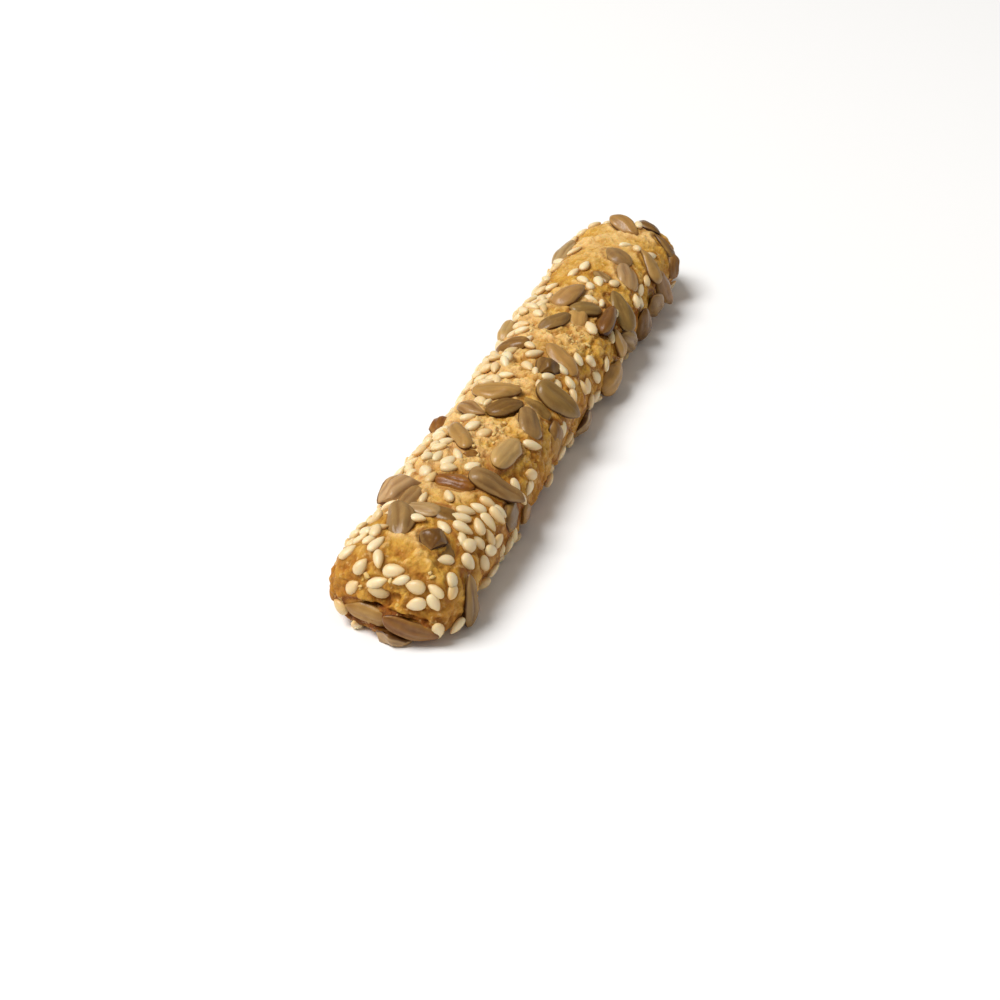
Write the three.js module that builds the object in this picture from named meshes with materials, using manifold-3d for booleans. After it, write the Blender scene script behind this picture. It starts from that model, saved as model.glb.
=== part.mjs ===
// Seeded breadstick: one baked stick of cheese dough, rolled in hulled sunflower kernels and
// sesame, lying on its flat baked base. Units are millimetres, +Z up. The stick runs along X,
// its crest is up, and the origin is the middle of its footprint on the surface it lies on.
//
// A point of the crust is named by its station, the distance run over the crest from the tip
// at -X, and by its clock, the angle in degrees round the stick from the crest towards +Y.
// A seed's heading is the angle in degrees of its long axis from +station towards +clock.

import * as THREE from "three";
import { mergeVertices } from "three/addons/utils/BufferGeometryUtils.js";
import Module from "manifold-3d";

// Dough, overall
const LENGTH = 137;
const HALF = LENGTH / 2;
const CREST_HEIGHT = 14.5;
const CREST_RISE = 0.5; // crest height gained from the middle to the +X end
const AXIS_SHARE = 0.46; // height of the section's widest line, as a share of the crest height
const LEFT_HALF_WIDTH = 10.7;
const LEFT_WIDENING = 0.4;
const RIGHT_HALF_WIDTH = 10.2;
const RIGHT_WIDENING = 0.9;
const RIGHT_END_WIDENING = 0.6;
const UPPER_POWER = 2.25; // superellipse power of the domed upper half of the section
const LOWER_POWER = 2.9; // and of the squarer lower half
const BASE_TRIM = 0.35; // depth of the underside that baked flat
const PLACE = { x: 0.63, y: 0.05 }; // moves the finished outline over the origin

// Ends: each is rounded over its own length, leans, and is set askew
const TIP = { length: 6.5, power: 3.2, skew: 0.04, rake: 0.2 }; // the squarer end, at -X
const TAIL = { length: 9.0, power: 2.6, skew: -0.09, rake: 0.1 }; // the rounder end, at +X
const END_REACH = 16; // how far from an end its lean and skew are felt

// Swellings of the sides: [side, X, reach along X, swelling]
const SWELLINGS = [
  ["left", -70, 13, 1.2],
  ["right", -50, 12, 0.8],
  ["right", 38, 9, -0.5],
];
const TIP_BEND = { x: -72, reach: 30, shift: 1.1 };

// Low lumps of the hand-rolled dough: [share of the girth, waves per mm, turns round, phase]
const LUMPS = [
  [0.016, 0.31, 2, 1.3],
  [0.013, 0.55, -3, 0.4],
  [0.010, 0.86, 2, 2.1],
  [0.008, 1.21, -5, 4.0],
];

// Crags of the torn face at -X: depth, waves per mm across and up, and how far back they fade
const CRAG = { depth: 0.6, across: 0.75, up: 1.15, reach: 10 };

// Faceting
const PROFILE_STEPS = 800;
const STATIONS = 40;
const SIDES = 18;
const END_CROWDING = 0.5; // how much closer the stations lie at the two ends
const MEAN_RADIUS = 9;
const PROBE = { station: 0.3, clock: 1.7 }; // half the span over which the crust's slope is taken
const CORE_INSET = 12; // the stick's core line stops this far short of each end
const MERGE_DISTANCE = 1e-5;

// Sunflower kernels placed by eye where they stand out:
// [station, clock, heading, length, width, height above the dough]
const PLACED_KERNELS = [
  [20.5, 19, 25, 9.6, 4.2, 1.0],
  [29, 43, -20, 10, 6, 2.0],
  [27, 22, 5, 7.5, 4.2, 1.2],
  [24, 4, 95, 6.5, 4, 0.8],
  [24.5, -9, 80, 6.5, 3.6, 0.6],
  [16, -20, 30, 4.8, 4.3, 1.6],
  [17, -33, 20, 6.5, 4, 0.4],
  [36, -43, -74, 10.5, 5.5, 1.8],
  [33, -82, -10, 8, 5, 0.9],
  [32.5, -2, 88, 6.8, 3, 0.9],
  [46, 14, 42, 9.5, 3.7, 1.2],
  [63.3, 14, -76, 9.2, 5, 1.5],
  [57.5, -2, -40, 7.4, 4.8, 1.4],
  [57, 35, 70, 7, 3.6, 1.1],
  [54.5, 65, 5, 7, 3, 1.6],
  [57, -33, 35, 8.8, 4.5, 0.7],
  [45.5, -28, -5, 9.5, 3.9, 0.9],
  [61.5, -28, 70, 7, 4, 0.4],
  [67.3, -48, -80, 9.8, 5.6, 1.5],
  [72.8, -16, -30, 5, 4.8, 1.6],
  [80.3, -25, 56, 9, 4, 0.9],
  [80, 31, 97, 6.6, 3.4, 1.0],
  [90, 64, 0, 8.5, 3, 2.0],
  [101.8, 5, -28, 8.5, 5.2, 1.7],
  [97.8, -15, -48, 7, 4.4, 1.5],
  [90.7, 2, -38, 8.4, 4.2, 1.2],
  [94.5, -13, 20, 8, 4, 0.7],
  [98.5, -38, 5, 10.2, 3.4, 2.2],
  [104.5, -53, 54, 9.5, 5, 1.3],
  [123.3, -12, 52, 8.3, 4.5, 0.7],
  [128.5, 70, -8, 9, 4.5, 1.2],
  [139, 8, 90, 5.6, 5, 2.0],
  [139, -22, -60, 5.8, 4.2, 1.8],
  [136, -55, 85, 7, 4, 0.6],
  [134, -80, 60, 5.6, 4, 1.2],
  [127, -87, 118, 10, 4.6, 1.9],
  [121, -94, 125, 8, 5, 1.7],
  [112, -100, 110, 9.5, 5, 2.0],
  [103, -90, 140, 9.5, 4.2, 2.0],
  [97, -76, 80, 6, 4.5, 1.0],
  [90, -107, -5, 9.5, 5.6, 2.0],
  [113, -10, 60, 5, 3.3, 0.8],
  [116.5, -35, 30, 8.5, 5, 0.7],
  [126, -42, 60, 8, 4.5, 0.9],
  [60, -80, 60, 7, 4.2, 0.5],
  [41.5, -3, -60, 4, 2.5, 0.5],
  [4.5, -154, 30, 8, 3.4, 0.6],
  [3.5, 143, 95, 7.5, 3.4, 0.5],
  [8, -168, 90, 7, 4, 1.6],
  [15.5, -96, 85, 9, 4, 1.5],
];

// Sesame seeds placed by eye at the torn end and in the thick patch beside it:
// [station, clock, heading]
const PLACED_SESAME = [
  [5.2, 72, 55], [7.3, 32, -50], [4.8, 15, -85], [2.6, 28, -105], [7, -3, -85],
  [6.2, -16, -61], [5.9, -38, 85], [8.3, -57, 113], [7.3, -74, 115], [4.9, -67, -5],
  [11.2, -60, -20], [11, -73, -10], [13.4, -39, -60], [8.5, -112, 110], [8.6, 11, 5],
  [11, 17, -25], [7, 112, 60], [20.5, 1, 60], [20.3, -23, 40], [29, -5, 25],
  [31.6, -46, 75], [34, 28, 25], [40, 8, 30], [38, -9, -60], [47.5, -4, -55],
  [26.5, -26, -75], [28.5, -37, 80], [25, -28, 75], [23, -33, 60], [24.5, -46, 55],
  [27, -56, 60], [29.8, -60, 55], [26.5, -68, 40], [22.5, -59, 85], [20.3, -56, 0],
  [20.5, -70, 85], [17.3, -66, 60], [17.8, -76, 70], [50, -43, 80], [60, -103, -10],
  [76.5, 2, -50], [74, 7, 20], [75, -34, 75], [70, -23, -80], [72, -36, 60],
  [73, -46, 50], [71, -60, 60], [92, -35, 30], [83, -52, 40], [109.5, -9, 20],
  [110, -20, 80], [103, -11, 85], [128, -26, 0], [129, -43, 80], [118, 21, 10],
];

// Seeds by rule: spots are drawn evenly over a stretch of the crust, and each one that keeps
// its gap to the seeds before it gets a seed. The draws follow a fixed congruential sequence.
// swing is the whole range of headings, centred on the stick's length.
const DRAW = { factor: 1664525, step: 1013904223, span: 2 ** 32 };
const KERNEL_RULE = {
  start: 11, count: 24, gap: 7.6, from: 6, to: 134, fromClock: 82, toClock: 258, swing: 100,
};
const SESAME_RULE = {
  start: 5, count: 100, gap: 2.6, from: 1.5, to: 141, fromClock: -180, toClock: 180, swing: 360,
};
const RULE_SPOTS = 8000; // spots tried before a rule gives up
const KERNEL_CLEARANCE = 0.52; // a sesame's least distance from a kernel, in sesame widths
const SESAME = { length: 3.3, width: 2.1, height: 0.55 };
const KERNEL_SIZE = { length: [7.4, 9.6], width: [3.8, 5.2], height: [0.6, 1.4] };

// How thickly the sesame lie: [station, clock, reach in mm, chance added]
const SESAME_CHANCE = 0.42;
const SESAME_PATCHES = [
  [42, 45, 11, 0.8],
  [24, -62, 11, 0.7],
  [17, 62, 8, 0.8],
  [74, 30, 9, 0.6],
  [76, -66, 9, 0.8],
  [93, 40, 9, 0.5],
  [13, -8, 6, -0.9],
  [50, -55, 9, -0.9],
  [50, -10, 6, -0.6],
  [86, -22, 8, -0.9],
  [118, 10, 10, -0.5],
  [132, 10, 10, -0.8],
  [5, 175, 9, -0.6],
];

// Seed shapes: thickness as a share of width, taper towards the pointed end, and facets.
// A seed that stands high, on its edge, is thick enough to reach down into the dough.
const KERNEL_FORM = { thickness: 0.5, taper: 0.3, rings: 2, sides: 6 };
const SESAME_FORM = { thickness: 0.5, taper: 0.25, rings: 2, sides: 4 };
const SUNK = 0.6; // least depth of a seed below the crust
const FLUSH = 0.55; // a kernel that stands lower than this is a stain in the crust, not a form

const DOUGH_COLOUR = 0xd9a550;
const RADIANS = Math.PI / 180;
const wasm = await Module();
wasm.setup();

function bump(x, middle, reach) {
  return Math.exp(-(((x - middle) / reach) ** 2));
}

function ease(t) {
  const c = Math.min(1, Math.max(0, t));
  return c * c * (3 - 2 * c);
}

function mix(range, share) {
  return range[0] + (range[1] - range[0]) * share;
}

function signedPower(value, power) {
  return Math.sign(value) * Math.abs(value) ** power;
}

// Share of the full girth at X: 1 along the stick, falling to 0 over each rounded end.
function girthShare(x) {
  const end = x < 0 ? TIP : TAIL;
  const depth = Math.max(0, (Math.abs(x) - (HALF - end.length)) / end.length);
  return (1 - Math.min(1, depth) ** end.power) ** (1 / end.power);
}

// The lengthwise profile, sampled by the distance run over the crest.
function lengthProfile() {
  const samples = [{ run: 0, x: -HALF, girth: 0 }];
  for (let i = 1; i <= PROFILE_STEPS; i += 1) {
    const u = -1 + (2 * i) / PROFILE_STEPS;
    const x = Math.sign(u) * HALF * (1 - (1 - Math.abs(u)) ** 2);
    const girth = girthShare(x);
    const last = samples[i - 1];
    const run = last.run + Math.hypot(x - last.x, (girth - last.girth) * MEAN_RADIUS);
    samples.push({ run, x, girth });
  }
  return samples;
}

const PROFILE = lengthProfile();
const FULL_RUN = PROFILE[PROFILE_STEPS].run;

function alongProfile(station) {
  const run = Math.min(FULL_RUN, Math.max(0, station));
  let low = 0;
  let high = PROFILE_STEPS;
  while (high - low > 1) {
    const middle = (low + high) >> 1;
    if (PROFILE[middle].run <= run) low = middle;
    else high = middle;
  }
  const a = PROFILE[low];
  const b = PROFILE[high];
  const t = (run - a.run) / (b.run - a.run);
  return { x: a.x + (b.x - a.x) * t, girth: a.girth + (b.girth - a.girth) * t };
}

function halfWidth(x, side) {
  const s = x / HALF;
  let width = LEFT_HALF_WIDTH + LEFT_WIDENING * s;
  if (side === "right") width = RIGHT_HALF_WIDTH + RIGHT_WIDENING * s + RIGHT_END_WIDENING * s * s;
  for (const [where, middle, reach, swelling] of SWELLINGS) {
    if (where === side) width += swelling * bump(x, middle, reach);
  }
  return width;
}

function lump(station, clock) {
  let share = 0;
  for (const [size, waves, turns, phase] of LUMPS) {
    share += size * Math.sin(waves * station + turns * clock + phase);
  }
  return share;
}

// The crust: the section is a superellipse, domed above its widest line and squarer below,
// scaled by the girth share and the lumps, leaned and skewed at the ends, and flat at its base.
function crust(station, clockDegrees) {
  const clock = clockDegrees * RADIANS;
  const { x, girth } = alongProfile(station);
  const crest = CREST_HEIGHT + (CREST_RISE * x) / HALF;
  const axis = AXIS_SHARE * crest;
  const sine = Math.sin(clock);
  const cosine = Math.cos(clock);
  const upper = cosine >= 0;
  const power = 2 / (upper ? UPPER_POWER : LOWER_POWER);
  const scale = girth * (1 + lump(station, clock));
  const across = scale * halfWidth(x, sine >= 0 ? "left" : "right") * signedPower(sine, power);
  const up = scale * (upper ? crest - axis : axis) * signedPower(cosine, power);
  const atTip = ease((END_REACH - HALF - x) / END_REACH);
  const atTail = ease((END_REACH - HALF + x) / END_REACH);
  const tipLean = atTip * (TIP.skew * across + TIP.rake * up);
  const tailLean = atTail * (TAIL.skew * across - TAIL.rake * up);
  const torn = CRAG.depth * ease(1 - station / CRAG.reach);
  const crag = torn * Math.sin(CRAG.across * across + CRAG.up * up);
  const bend = TIP_BEND.shift * bump(x, TIP_BEND.x, TIP_BEND.reach);
  const height = Math.max(axis + up, BASE_TRIM) - BASE_TRIM;
  const lengthwise = x + tipLean + tailLean + crag + PLACE.x;
  return new THREE.Vector3(lengthwise, across + bend + PLACE.y, height);
}

// The crust's frame at a spot: the point, the unit directions of +station, +clock and outwards.
function crustFrame(station, clock) {
  const point = crust(station, clock);
  const { station: s, clock: c } = PROBE;
  const along = crust(station + s, clock).sub(crust(station - s, clock)).normalize();
  const round = crust(station, clock + c).sub(crust(station, clock - c));
  const out = new THREE.Vector3().crossVectors(round, along).normalize();
  const coreX = THREE.MathUtils.clamp(point.x, CORE_INSET - HALF, HALF - CORE_INSET);
  const core = new THREE.Vector3(coreX, 0, CREST_HEIGHT / 2);
  if (point.clone().sub(core).dot(out) < 0) out.negate();
  round.addScaledVector(along, -round.dot(along)).normalize();
  return { point, along, round, out };
}

function solidFrom(vertices, faces) {
  const geometry = new THREE.BufferGeometry();
  geometry.setAttribute("position", new THREE.Float32BufferAttribute(vertices, 3));
  geometry.setIndex(faces);
  return solidFromGeometry(geometry);
}

function solidFromGeometry(geometry) {
  const bare = geometry.clone();
  bare.deleteAttribute("normal");
  bare.deleteAttribute("uv");
  const merged = mergeVertices(bare, MERGE_DISTANCE);
  const mesh = new wasm.Mesh({
    numProp: 3,
    vertProperties: new Float32Array(merged.attributes.position.array),
    triVerts: new Uint32Array(merged.index.array),
  });
  return new wasm.Manifold(mesh);
}

// A closed skin over rings of equal size, with one point at each end. The rings run
// anticlockwise, seen from the last point, so that the faces look outwards.
function skinRings(first, rings, last) {
  const vertices = [first, ...rings.flat(), last].flatMap((p) => [p.x, p.y, p.z]);
  const sides = rings[0].length;
  const at = (ring, side) => 1 + ring * sides + (side % sides);
  const end = 1 + rings.length * sides;
  const faces = [];
  for (let side = 0; side < sides; side += 1) {
    faces.push(0, at(0, side + 1), at(0, side));
    for (let ring = 0; ring < rings.length - 1; ring += 1) {
      faces.push(at(ring, side), at(ring + 1, side + 1), at(ring + 1, side));
      faces.push(at(ring, side), at(ring, side + 1), at(ring + 1, side + 1));
    }
    faces.push(at(rings.length - 1, side), at(rings.length - 1, side + 1), end);
  }
  return solidFrom(vertices, faces);
}

// Stations crowd towards the two rounded ends.
function doughSolid() {
  const rings = [];
  for (let i = 1; i < STATIONS; i += 1) {
    const t = i / STATIONS;
    const crowding = (END_CROWDING * Math.sin(2 * Math.PI * t)) / (2 * Math.PI);
    const station = FULL_RUN * (t - crowding);
    const ring = [];
    for (let side = 0; side < SIDES; side += 1) ring.push(crust(station, (-360 * side) / SIDES));
    rings.push(ring);
  }
  return skinRings(crust(0, 0), rings, crust(FULL_RUN, 0));
}

// A seed: an oval body, blunt at one end and tapering to the other, half sunk in the crust.
function seedSolid(seed, form) {
  const { point, along, round, out } = crustFrame(seed.station, seed.clock);
  const turn = seed.heading * RADIANS;
  const axis = along.clone().multiplyScalar(Math.cos(turn)).addScaledVector(round, Math.sin(turn));
  const side = new THREE.Vector3().crossVectors(out, axis);
  const thickness = Math.max(form.thickness * seed.width, seed.height + SUNK);
  const middle = point.clone().addScaledVector(out, seed.height - thickness / 2);
  const place = (u, v, w) =>
    middle
      .clone()
      .addScaledVector(axis, (u * seed.length) / 2)
      .addScaledVector(side, (v * seed.width) / 2)
      .addScaledVector(out, (w * thickness) / 2);
  const rings = [];
  for (let i = 1; i <= form.rings; i += 1) {
    const u = -Math.cos((Math.PI * i) / (form.rings + 1));
    const girth = Math.sqrt(1 - u * u) * (1 - form.taper * u);
    const ring = [];
    for (let j = 0; j < form.sides; j += 1) {
      const angle = (2 * Math.PI * (j + 0.5)) / form.sides;
      ring.push(place(u, girth * Math.cos(angle), girth * Math.sin(angle)));
    }
    rings.push(ring);
  }
  return skinRings(place(-1, 0, 0), rings, place(1, 0, 0));
}

function drawsFrom(start) {
  let state = start;
  return () => {
    state = (Math.imul(state, DRAW.factor) + DRAW.step) >>> 0;
    return state / DRAW.span;
  };
}

function drawSpot(rule, draw) {
  const station = mix([rule.from, rule.to], draw());
  const clock = mix([rule.fromClock, rule.toClock], draw());
  const heading = rule.swing * (draw() - 0.5);
  return { station, clock, heading, point: crust(station, clock) };
}

function sesameChance(point) {
  let chance = SESAME_CHANCE;
  for (const [station, clock, reach, added] of SESAME_PATCHES) {
    chance += added * bump(point.distanceTo(crust(station, clock)), 0, reach);
  }
  return chance;
}

function clearOf(point, seeds, gap) {
  return seeds.every((seed) => point.distanceTo(seed.point) > gap);
}

// Sesame lie outside an oval round each kernel, their own half width and a little more away.
function clearOfKernels(point, kernels) {
  const gap = SESAME.width * KERNEL_CLEARANCE;
  return kernels.every((kernel) => {
    const offset = point.clone().sub(kernel.point);
    const lengthwise = offset.dot(kernel.axis);
    const crosswise = Math.sqrt(Math.max(0, offset.lengthSq() - lengthwise ** 2));
    const far = Math.hypot(
      lengthwise / (kernel.length / 2 + gap),
      crosswise / (kernel.width / 2 + gap),
    );
    return far > 1;
  });
}

function withAxis(seed) {
  const { point, along, round } = crustFrame(seed.station, seed.clock);
  const turn = seed.heading * RADIANS;
  const axis = along.multiplyScalar(Math.cos(turn)).addScaledVector(round, Math.sin(turn));
  return { ...seed, point, axis };
}

function kernelSeeds() {
  const seeds = PLACED_KERNELS.map(([station, clock, heading, length, width, height]) => {
    return withAxis({ station, clock, heading, length, width, height });
  });
  const full = seeds.length + KERNEL_RULE.count;
  const draw = drawsFrom(KERNEL_RULE.start);
  for (let tried = 0; seeds.length < full && tried < RULE_SPOTS; tried += 1) {
    const spot = drawSpot(KERNEL_RULE, draw);
    const length = mix(KERNEL_SIZE.length, draw());
    const width = mix(KERNEL_SIZE.width, draw());
    const height = mix(KERNEL_SIZE.height, draw());
    if (clearOf(spot.point, seeds, KERNEL_RULE.gap)) {
      seeds.push(withAxis({ ...spot, length, width, height }));
    }
  }
  return seeds;
}

function sesameSeeds(kernels) {
  const seeds = PLACED_SESAME.map(([station, clock, heading]) => {
    return { ...SESAME, station, clock, heading, point: crust(station, clock) };
  });
  const full = seeds.length + SESAME_RULE.count;
  const draw = drawsFrom(SESAME_RULE.start);
  for (let tried = 0; seeds.length < full && tried < RULE_SPOTS; tried += 1) {
    const spot = drawSpot(SESAME_RULE, draw);
    const wanted = draw() < sesameChance(spot.point);
    const clear = clearOf(spot.point, seeds, SESAME_RULE.gap);
    if (wanted && clear && clearOfKernels(spot.point, kernels)) seeds.push({ ...SESAME, ...spot });
  }
  return seeds;
}

// What the stick lies on presses its seeds flush: nothing reaches below z = 0.
function aboveTable() {
  const size = 2 * LENGTH;
  return solidFromGeometry(new THREE.BoxGeometry(size, size, size).translate(0, 0, size / 2));
}

function geometryFrom(solid) {
  const mesh = solid.getMesh();
  const positions = new Float32Array(mesh.numVert * 3);
  for (let i = 0; i < mesh.numVert; i += 1) {
    for (let k = 0; k < 3; k += 1) positions[3 * i + k] = mesh.vertProperties[mesh.numProp * i + k];
  }
  const geometry = new THREE.BufferGeometry();
  geometry.setAttribute("position", new THREE.BufferAttribute(positions, 3));
  geometry.setIndex(new THREE.BufferAttribute(new Uint32Array(mesh.triVerts), 1));
  geometry.computeVertexNormals();
  return geometry;
}

function seededBreadstick() {
  const kernels = kernelSeeds();
  const pieces = [doughSolid()];
  for (const kernel of kernels) {
    if (kernel.height > FLUSH) pieces.push(seedSolid(kernel, KERNEL_FORM));
  }
  for (const seed of sesameSeeds(kernels)) pieces.push(seedSolid(seed, SESAME_FORM));
  const joined = wasm.Manifold.union(pieces).intersect(aboveTable());
  const material = new THREE.MeshStandardMaterial({ color: DOUGH_COLOUR, roughness: 0.8, metalness: 0 });
  const mesh = new THREE.Mesh(geometryFrom(joined), material);
  mesh.name = "seeded_breadstick";
  return mesh;
}

const breadstick = new THREE.Group();
breadstick.add(seededBreadstick());

export default breadstick;
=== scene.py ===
"""Seeded breadstick: a short thick stick of baked cheese dough, crusted all over with sunflower
kernels and sesame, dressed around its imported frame.

Meshes and settings are in metres. The formulas for the crust and the seeds work in millimetres,
and MM turns one into the other. The stick runs along X from its squarer torn tip to its rounder
tail. A spot on the crust is named by its station, the distance run over the crest from the tip,
and by its clock, the angle in degrees round the stick from the crest towards +Y. A seed's
heading is the angle in degrees of its long axis from +station towards +clock.
"""

import bpy
import numpy as np
from bpy.props import FloatProperty, FloatVectorProperty, IntProperty, PointerProperty
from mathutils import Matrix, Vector


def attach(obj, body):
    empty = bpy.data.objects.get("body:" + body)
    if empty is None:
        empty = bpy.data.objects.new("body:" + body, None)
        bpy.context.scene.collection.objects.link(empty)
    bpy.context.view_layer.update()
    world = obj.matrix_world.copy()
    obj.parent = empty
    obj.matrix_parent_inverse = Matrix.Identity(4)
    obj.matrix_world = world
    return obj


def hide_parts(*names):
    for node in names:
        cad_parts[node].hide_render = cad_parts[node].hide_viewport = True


bl_info = {
    "name": "Seeded Breadstick",
    "version": (1, 0, 0),
    "blender": (4, 5, 0),
    "location": "View3D > Sidebar > Breadstick",
    "description": "Builds a baked breadstick crusted with sunflower kernels and sesame",
    "category": "Add Mesh",
}

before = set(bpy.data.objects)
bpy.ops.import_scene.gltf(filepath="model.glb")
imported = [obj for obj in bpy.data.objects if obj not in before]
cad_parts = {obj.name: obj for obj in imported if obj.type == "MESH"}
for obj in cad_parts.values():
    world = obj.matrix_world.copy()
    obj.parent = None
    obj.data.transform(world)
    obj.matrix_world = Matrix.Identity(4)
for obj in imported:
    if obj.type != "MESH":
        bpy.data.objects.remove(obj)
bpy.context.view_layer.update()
NODE = "seeded_breadstick"
BODY = "root"
MM = 0.001

# Dough, overall, in millimetres
LENGTH = 137
HALF = LENGTH / 2
CREST_HEIGHT = 14.5
CREST_RISE = 0.5
AXIS_SHARE = 0.46
LEFT_HALF_WIDTH = 10.7
LEFT_WIDENING = 0.4
RIGHT_HALF_WIDTH = 10.2
RIGHT_WIDENING = 0.9
RIGHT_END_WIDENING = 0.6
UPPER_POWER = 2.25
LOWER_POWER = 2.9
BASE_TRIM = 0.35
PLACE = (0.63, 0.05)
TIP = {"length": 6.5, "power": 3.2, "skew": 0.04, "rake": 0.2}
TAIL = {"length": 9.0, "power": 2.6, "skew": -0.09, "rake": 0.1}
END_REACH = 16

# Swellings of the half width: side, X, reach and rise. Lumps as shares of the girth: size, waves
# for each mm along, turns round the stick, phase
SWELLINGS = [("left", -70, 13, 1.2), ("right", -50, 12, 0.8), ("right", 38, 9, -0.5)]
LUMPS = [
    (0.016, 0.31, 2, 1.3),
    (0.013, 0.55, -3, 0.4),
    (0.010, 0.86, 2, 2.1),
    (0.008, 1.21, -5, 4.0),
]

# The tip's bend to the left and its crags, then what the formulas step and measure by
TIP_BEND = {"x": -72, "reach": 30, "shift": 1.1}
CRAG = {"depth": 0.6, "across": 0.75, "up": 1.15, "reach": 10}
PROFILE_STEPS = 800
MEAN_RADIUS = 9
PROBE = {"station": 0.3, "clock": 1.7}
CORE_INSET = 12
FLOOR_GAP = 0.02

# Sunflower kernels placed one by one: station, clock, heading, length, width, height above the
# dough, tilt and roll out of the crust's plane, tone, how far dough coats it, and share left
KERNEL_COLUMNS = (
    "station", "clock", "heading", "length", "width", "height", "tilt", "roll", "tone", "coat",
    "left",
)
PLACED_KERNELS = [
    (19.9, 13.5, 25, 8.8, 4.6, 1.3, 9, 0, "grey", 0.1, 0.8),
    (28.8, 36, -24, 10.6, 5.6, 2.2, 0, 38, "ash", 0, 0.7),
    (27, 22, 5, 7.5, 4.2, 0.8, 0, 12, "grey", 0.15, 1),
    (24, 4, 95, 6.5, 4, 0.8, 0, 0, "ash", 0.2, 1),
    (24.5, -9, 80, 6.5, 3.6, 0.5, 0, 0, "dark", 0.2, 1),
    (16.2, -20, 30, 5.8, 5.0, 2.0, 0, 0, "dark", 0, 0.55),
    (17, -33, 20, 6.5, 4, 0.3, 0, 0, "dark", 0.4, 1),
    (35.8, -42, -74, 10.8, 5.2, 1.8, 0, 0, "grey", 0, 1),
    (35.2, -80, -10, 7.5, 5, 1.0, 0, 0, "umber", 0.1, 1),
    (32.9, -3.2, 92, 7.8, 3.4, 1.0, 0, -14, "amber", 0, 1),
    (46, 14.5, 36, 10.2, 3.4, 1.2, 0, 0, "tan", 0, 1),
    (61.9, 10, -76, 9.2, 5.4, 1.6, 0, 6, "tan", 0, 1),
    (57.6, -3.5, -40, 7.2, 4.7, 1.3, 0, 0, "umber", 0, 1),
    (55.8, 24, -122, 6.8, 3.4, 1.1, 0, -12, "grey", 0, 1),
    (53.5, 59, 5, 8.6, 4.2, 1.0, 0, 35, "amber", 0, 0.7),
    (56, -34, 35, 8.2, 4.6, 0.9, 0, 0, "dun", 0.2, 1),
    (44.7, -30, -5, 10, 4.3, 1.0, 0, 0, "pale", 0.35, 1),
    (61.5, -28, 70, 7, 4, 0.4, 0, 0, "umber", 0.42, 1),
    (66, -47.5, -80, 9.8, 6, 1.5, 0, 0, "olive", 0, 1),
    (74, -16.5, -10, 5.8, 5.4, 1.8, 0, 0, "umber", 0, 0.6),
    (78.3, -23.5, 61, 9.2, 4.4, 1.0, 0, 0, "tan", 0.1, 1),
    (80, 29, 97, 7, 3.8, 1.3, 0, -25, "brown", 0, 1),
    (90, 60, 0, 8.5, 3.2, 1.8, 0, 30, "pale", 0, 1),
    (101.2, 4.5, -28, 8.7, 5.2, 1.7, 0, 0, "tan", 0, 1),
    (97.8, -16, -48, 7, 4.4, 1.5, 0, 0, "olive", 0, 1),
    (90.7, 2, -38, 8, 4, 1.2, 0, 0, "olive", 0, 1),
    (94.8, -13, 20, 7, 4, 0.8, 0, 0, "tan", 0.45, 1),
    (98.1, -44, 5, 10.2, 3.8, 2.3, 0, -48, "russet", 0, 1),
    (104.5, -53, 54, 9.5, 5, 1.5, 0, -30, "olive", 0.1, 1),
    (122, -11, 52, 7.8, 4.6, 1.0, 0, 0, "dun", 0.15, 1),
    (128, 64, -8, 10, 4.6, 1.8, 0, 38, "ash", 0, 1),
    (137, -1, -122, 8.6, 4.4, 1.5, -5, 0, "tan", 0, 1),
    (139, -22, -115, 6.4, 4.2, 1.2, 0, 0, "umber", 0, 1),
    (136, -55, 85, 7, 4, 0.9, 0, 0, "umber", 0.2, 1),
    (134, -80, 60, 5.6, 4, 1.3, 0, -35, "brown", 0, 1),
    (126.6, -90, -62, 10, 4.4, 1.8, 10, 0, "brown", 0, 1),
    (121, -94, 125, 8, 5, 1.7, 0, -30, "dun", 0, 1),
    (113, -97, 110, 9.5, 5, 1.9, 0, -28, "umber", 0, 1),
    (103, -90, 140, 9.5, 4.2, 1.9, 0, -15, "grey", 0, 1),
    (97, -76, 80, 6, 4.5, 1.0, 0, 0, "tan", 0.2, 1),
    (90.5, -98, 15, 9, 5.2, 2.2, 0, -35, "tan", 0, 1),
    (113, -10, 60, 5, 3.3, 0.8, 0, 0, "grey", 0.1, 1),
    (116.5, -35, 30, 8.5, 5, 0.9, 0, 0, "ash", 0.3, 1),
    (125, -52, 60, 8, 4.5, 0.9, 0, 0, "tan", 0.3, 1),
    (60, -80, 60, 7, 4.2, 0.5, 0, 0, "brown", 0.5, 1),
    (41.5, -3, -60, 4, 2.5, 0.5, 0, 0, "amber", 0.2, 0.7),
    (5, -136, 19, 9.4, 3.8, 0.9, -26, 12, "amber", 0.3, 1),
    (3.1, 130.5, -29, 8.6, 3.6, 0.7, 12, -25, "brown", 0.44, 1),
    (7.3, -175, 61, 8.4, 4.4, 1.4, 0, 0, "ash", 0.3, 0.7),
    (15, -95, 85, 9.6, 3.6, 1.4, 0, 0, "grey", 0.1, 1),
    (146.6, 150, 85, 7.4, 4.1, 0.9, 0, 0, "tan", 0.15, 1),
    (144.2, -118, 80, 6.8, 4, 0.9, 0, 0, "grey", 0.1, 1),
]

# Where no seed is placed by rule: up to a station, from one clock to another
BARE_CORNER = {"station": 14, "from_clock": 50, "clock": 135}
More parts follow.
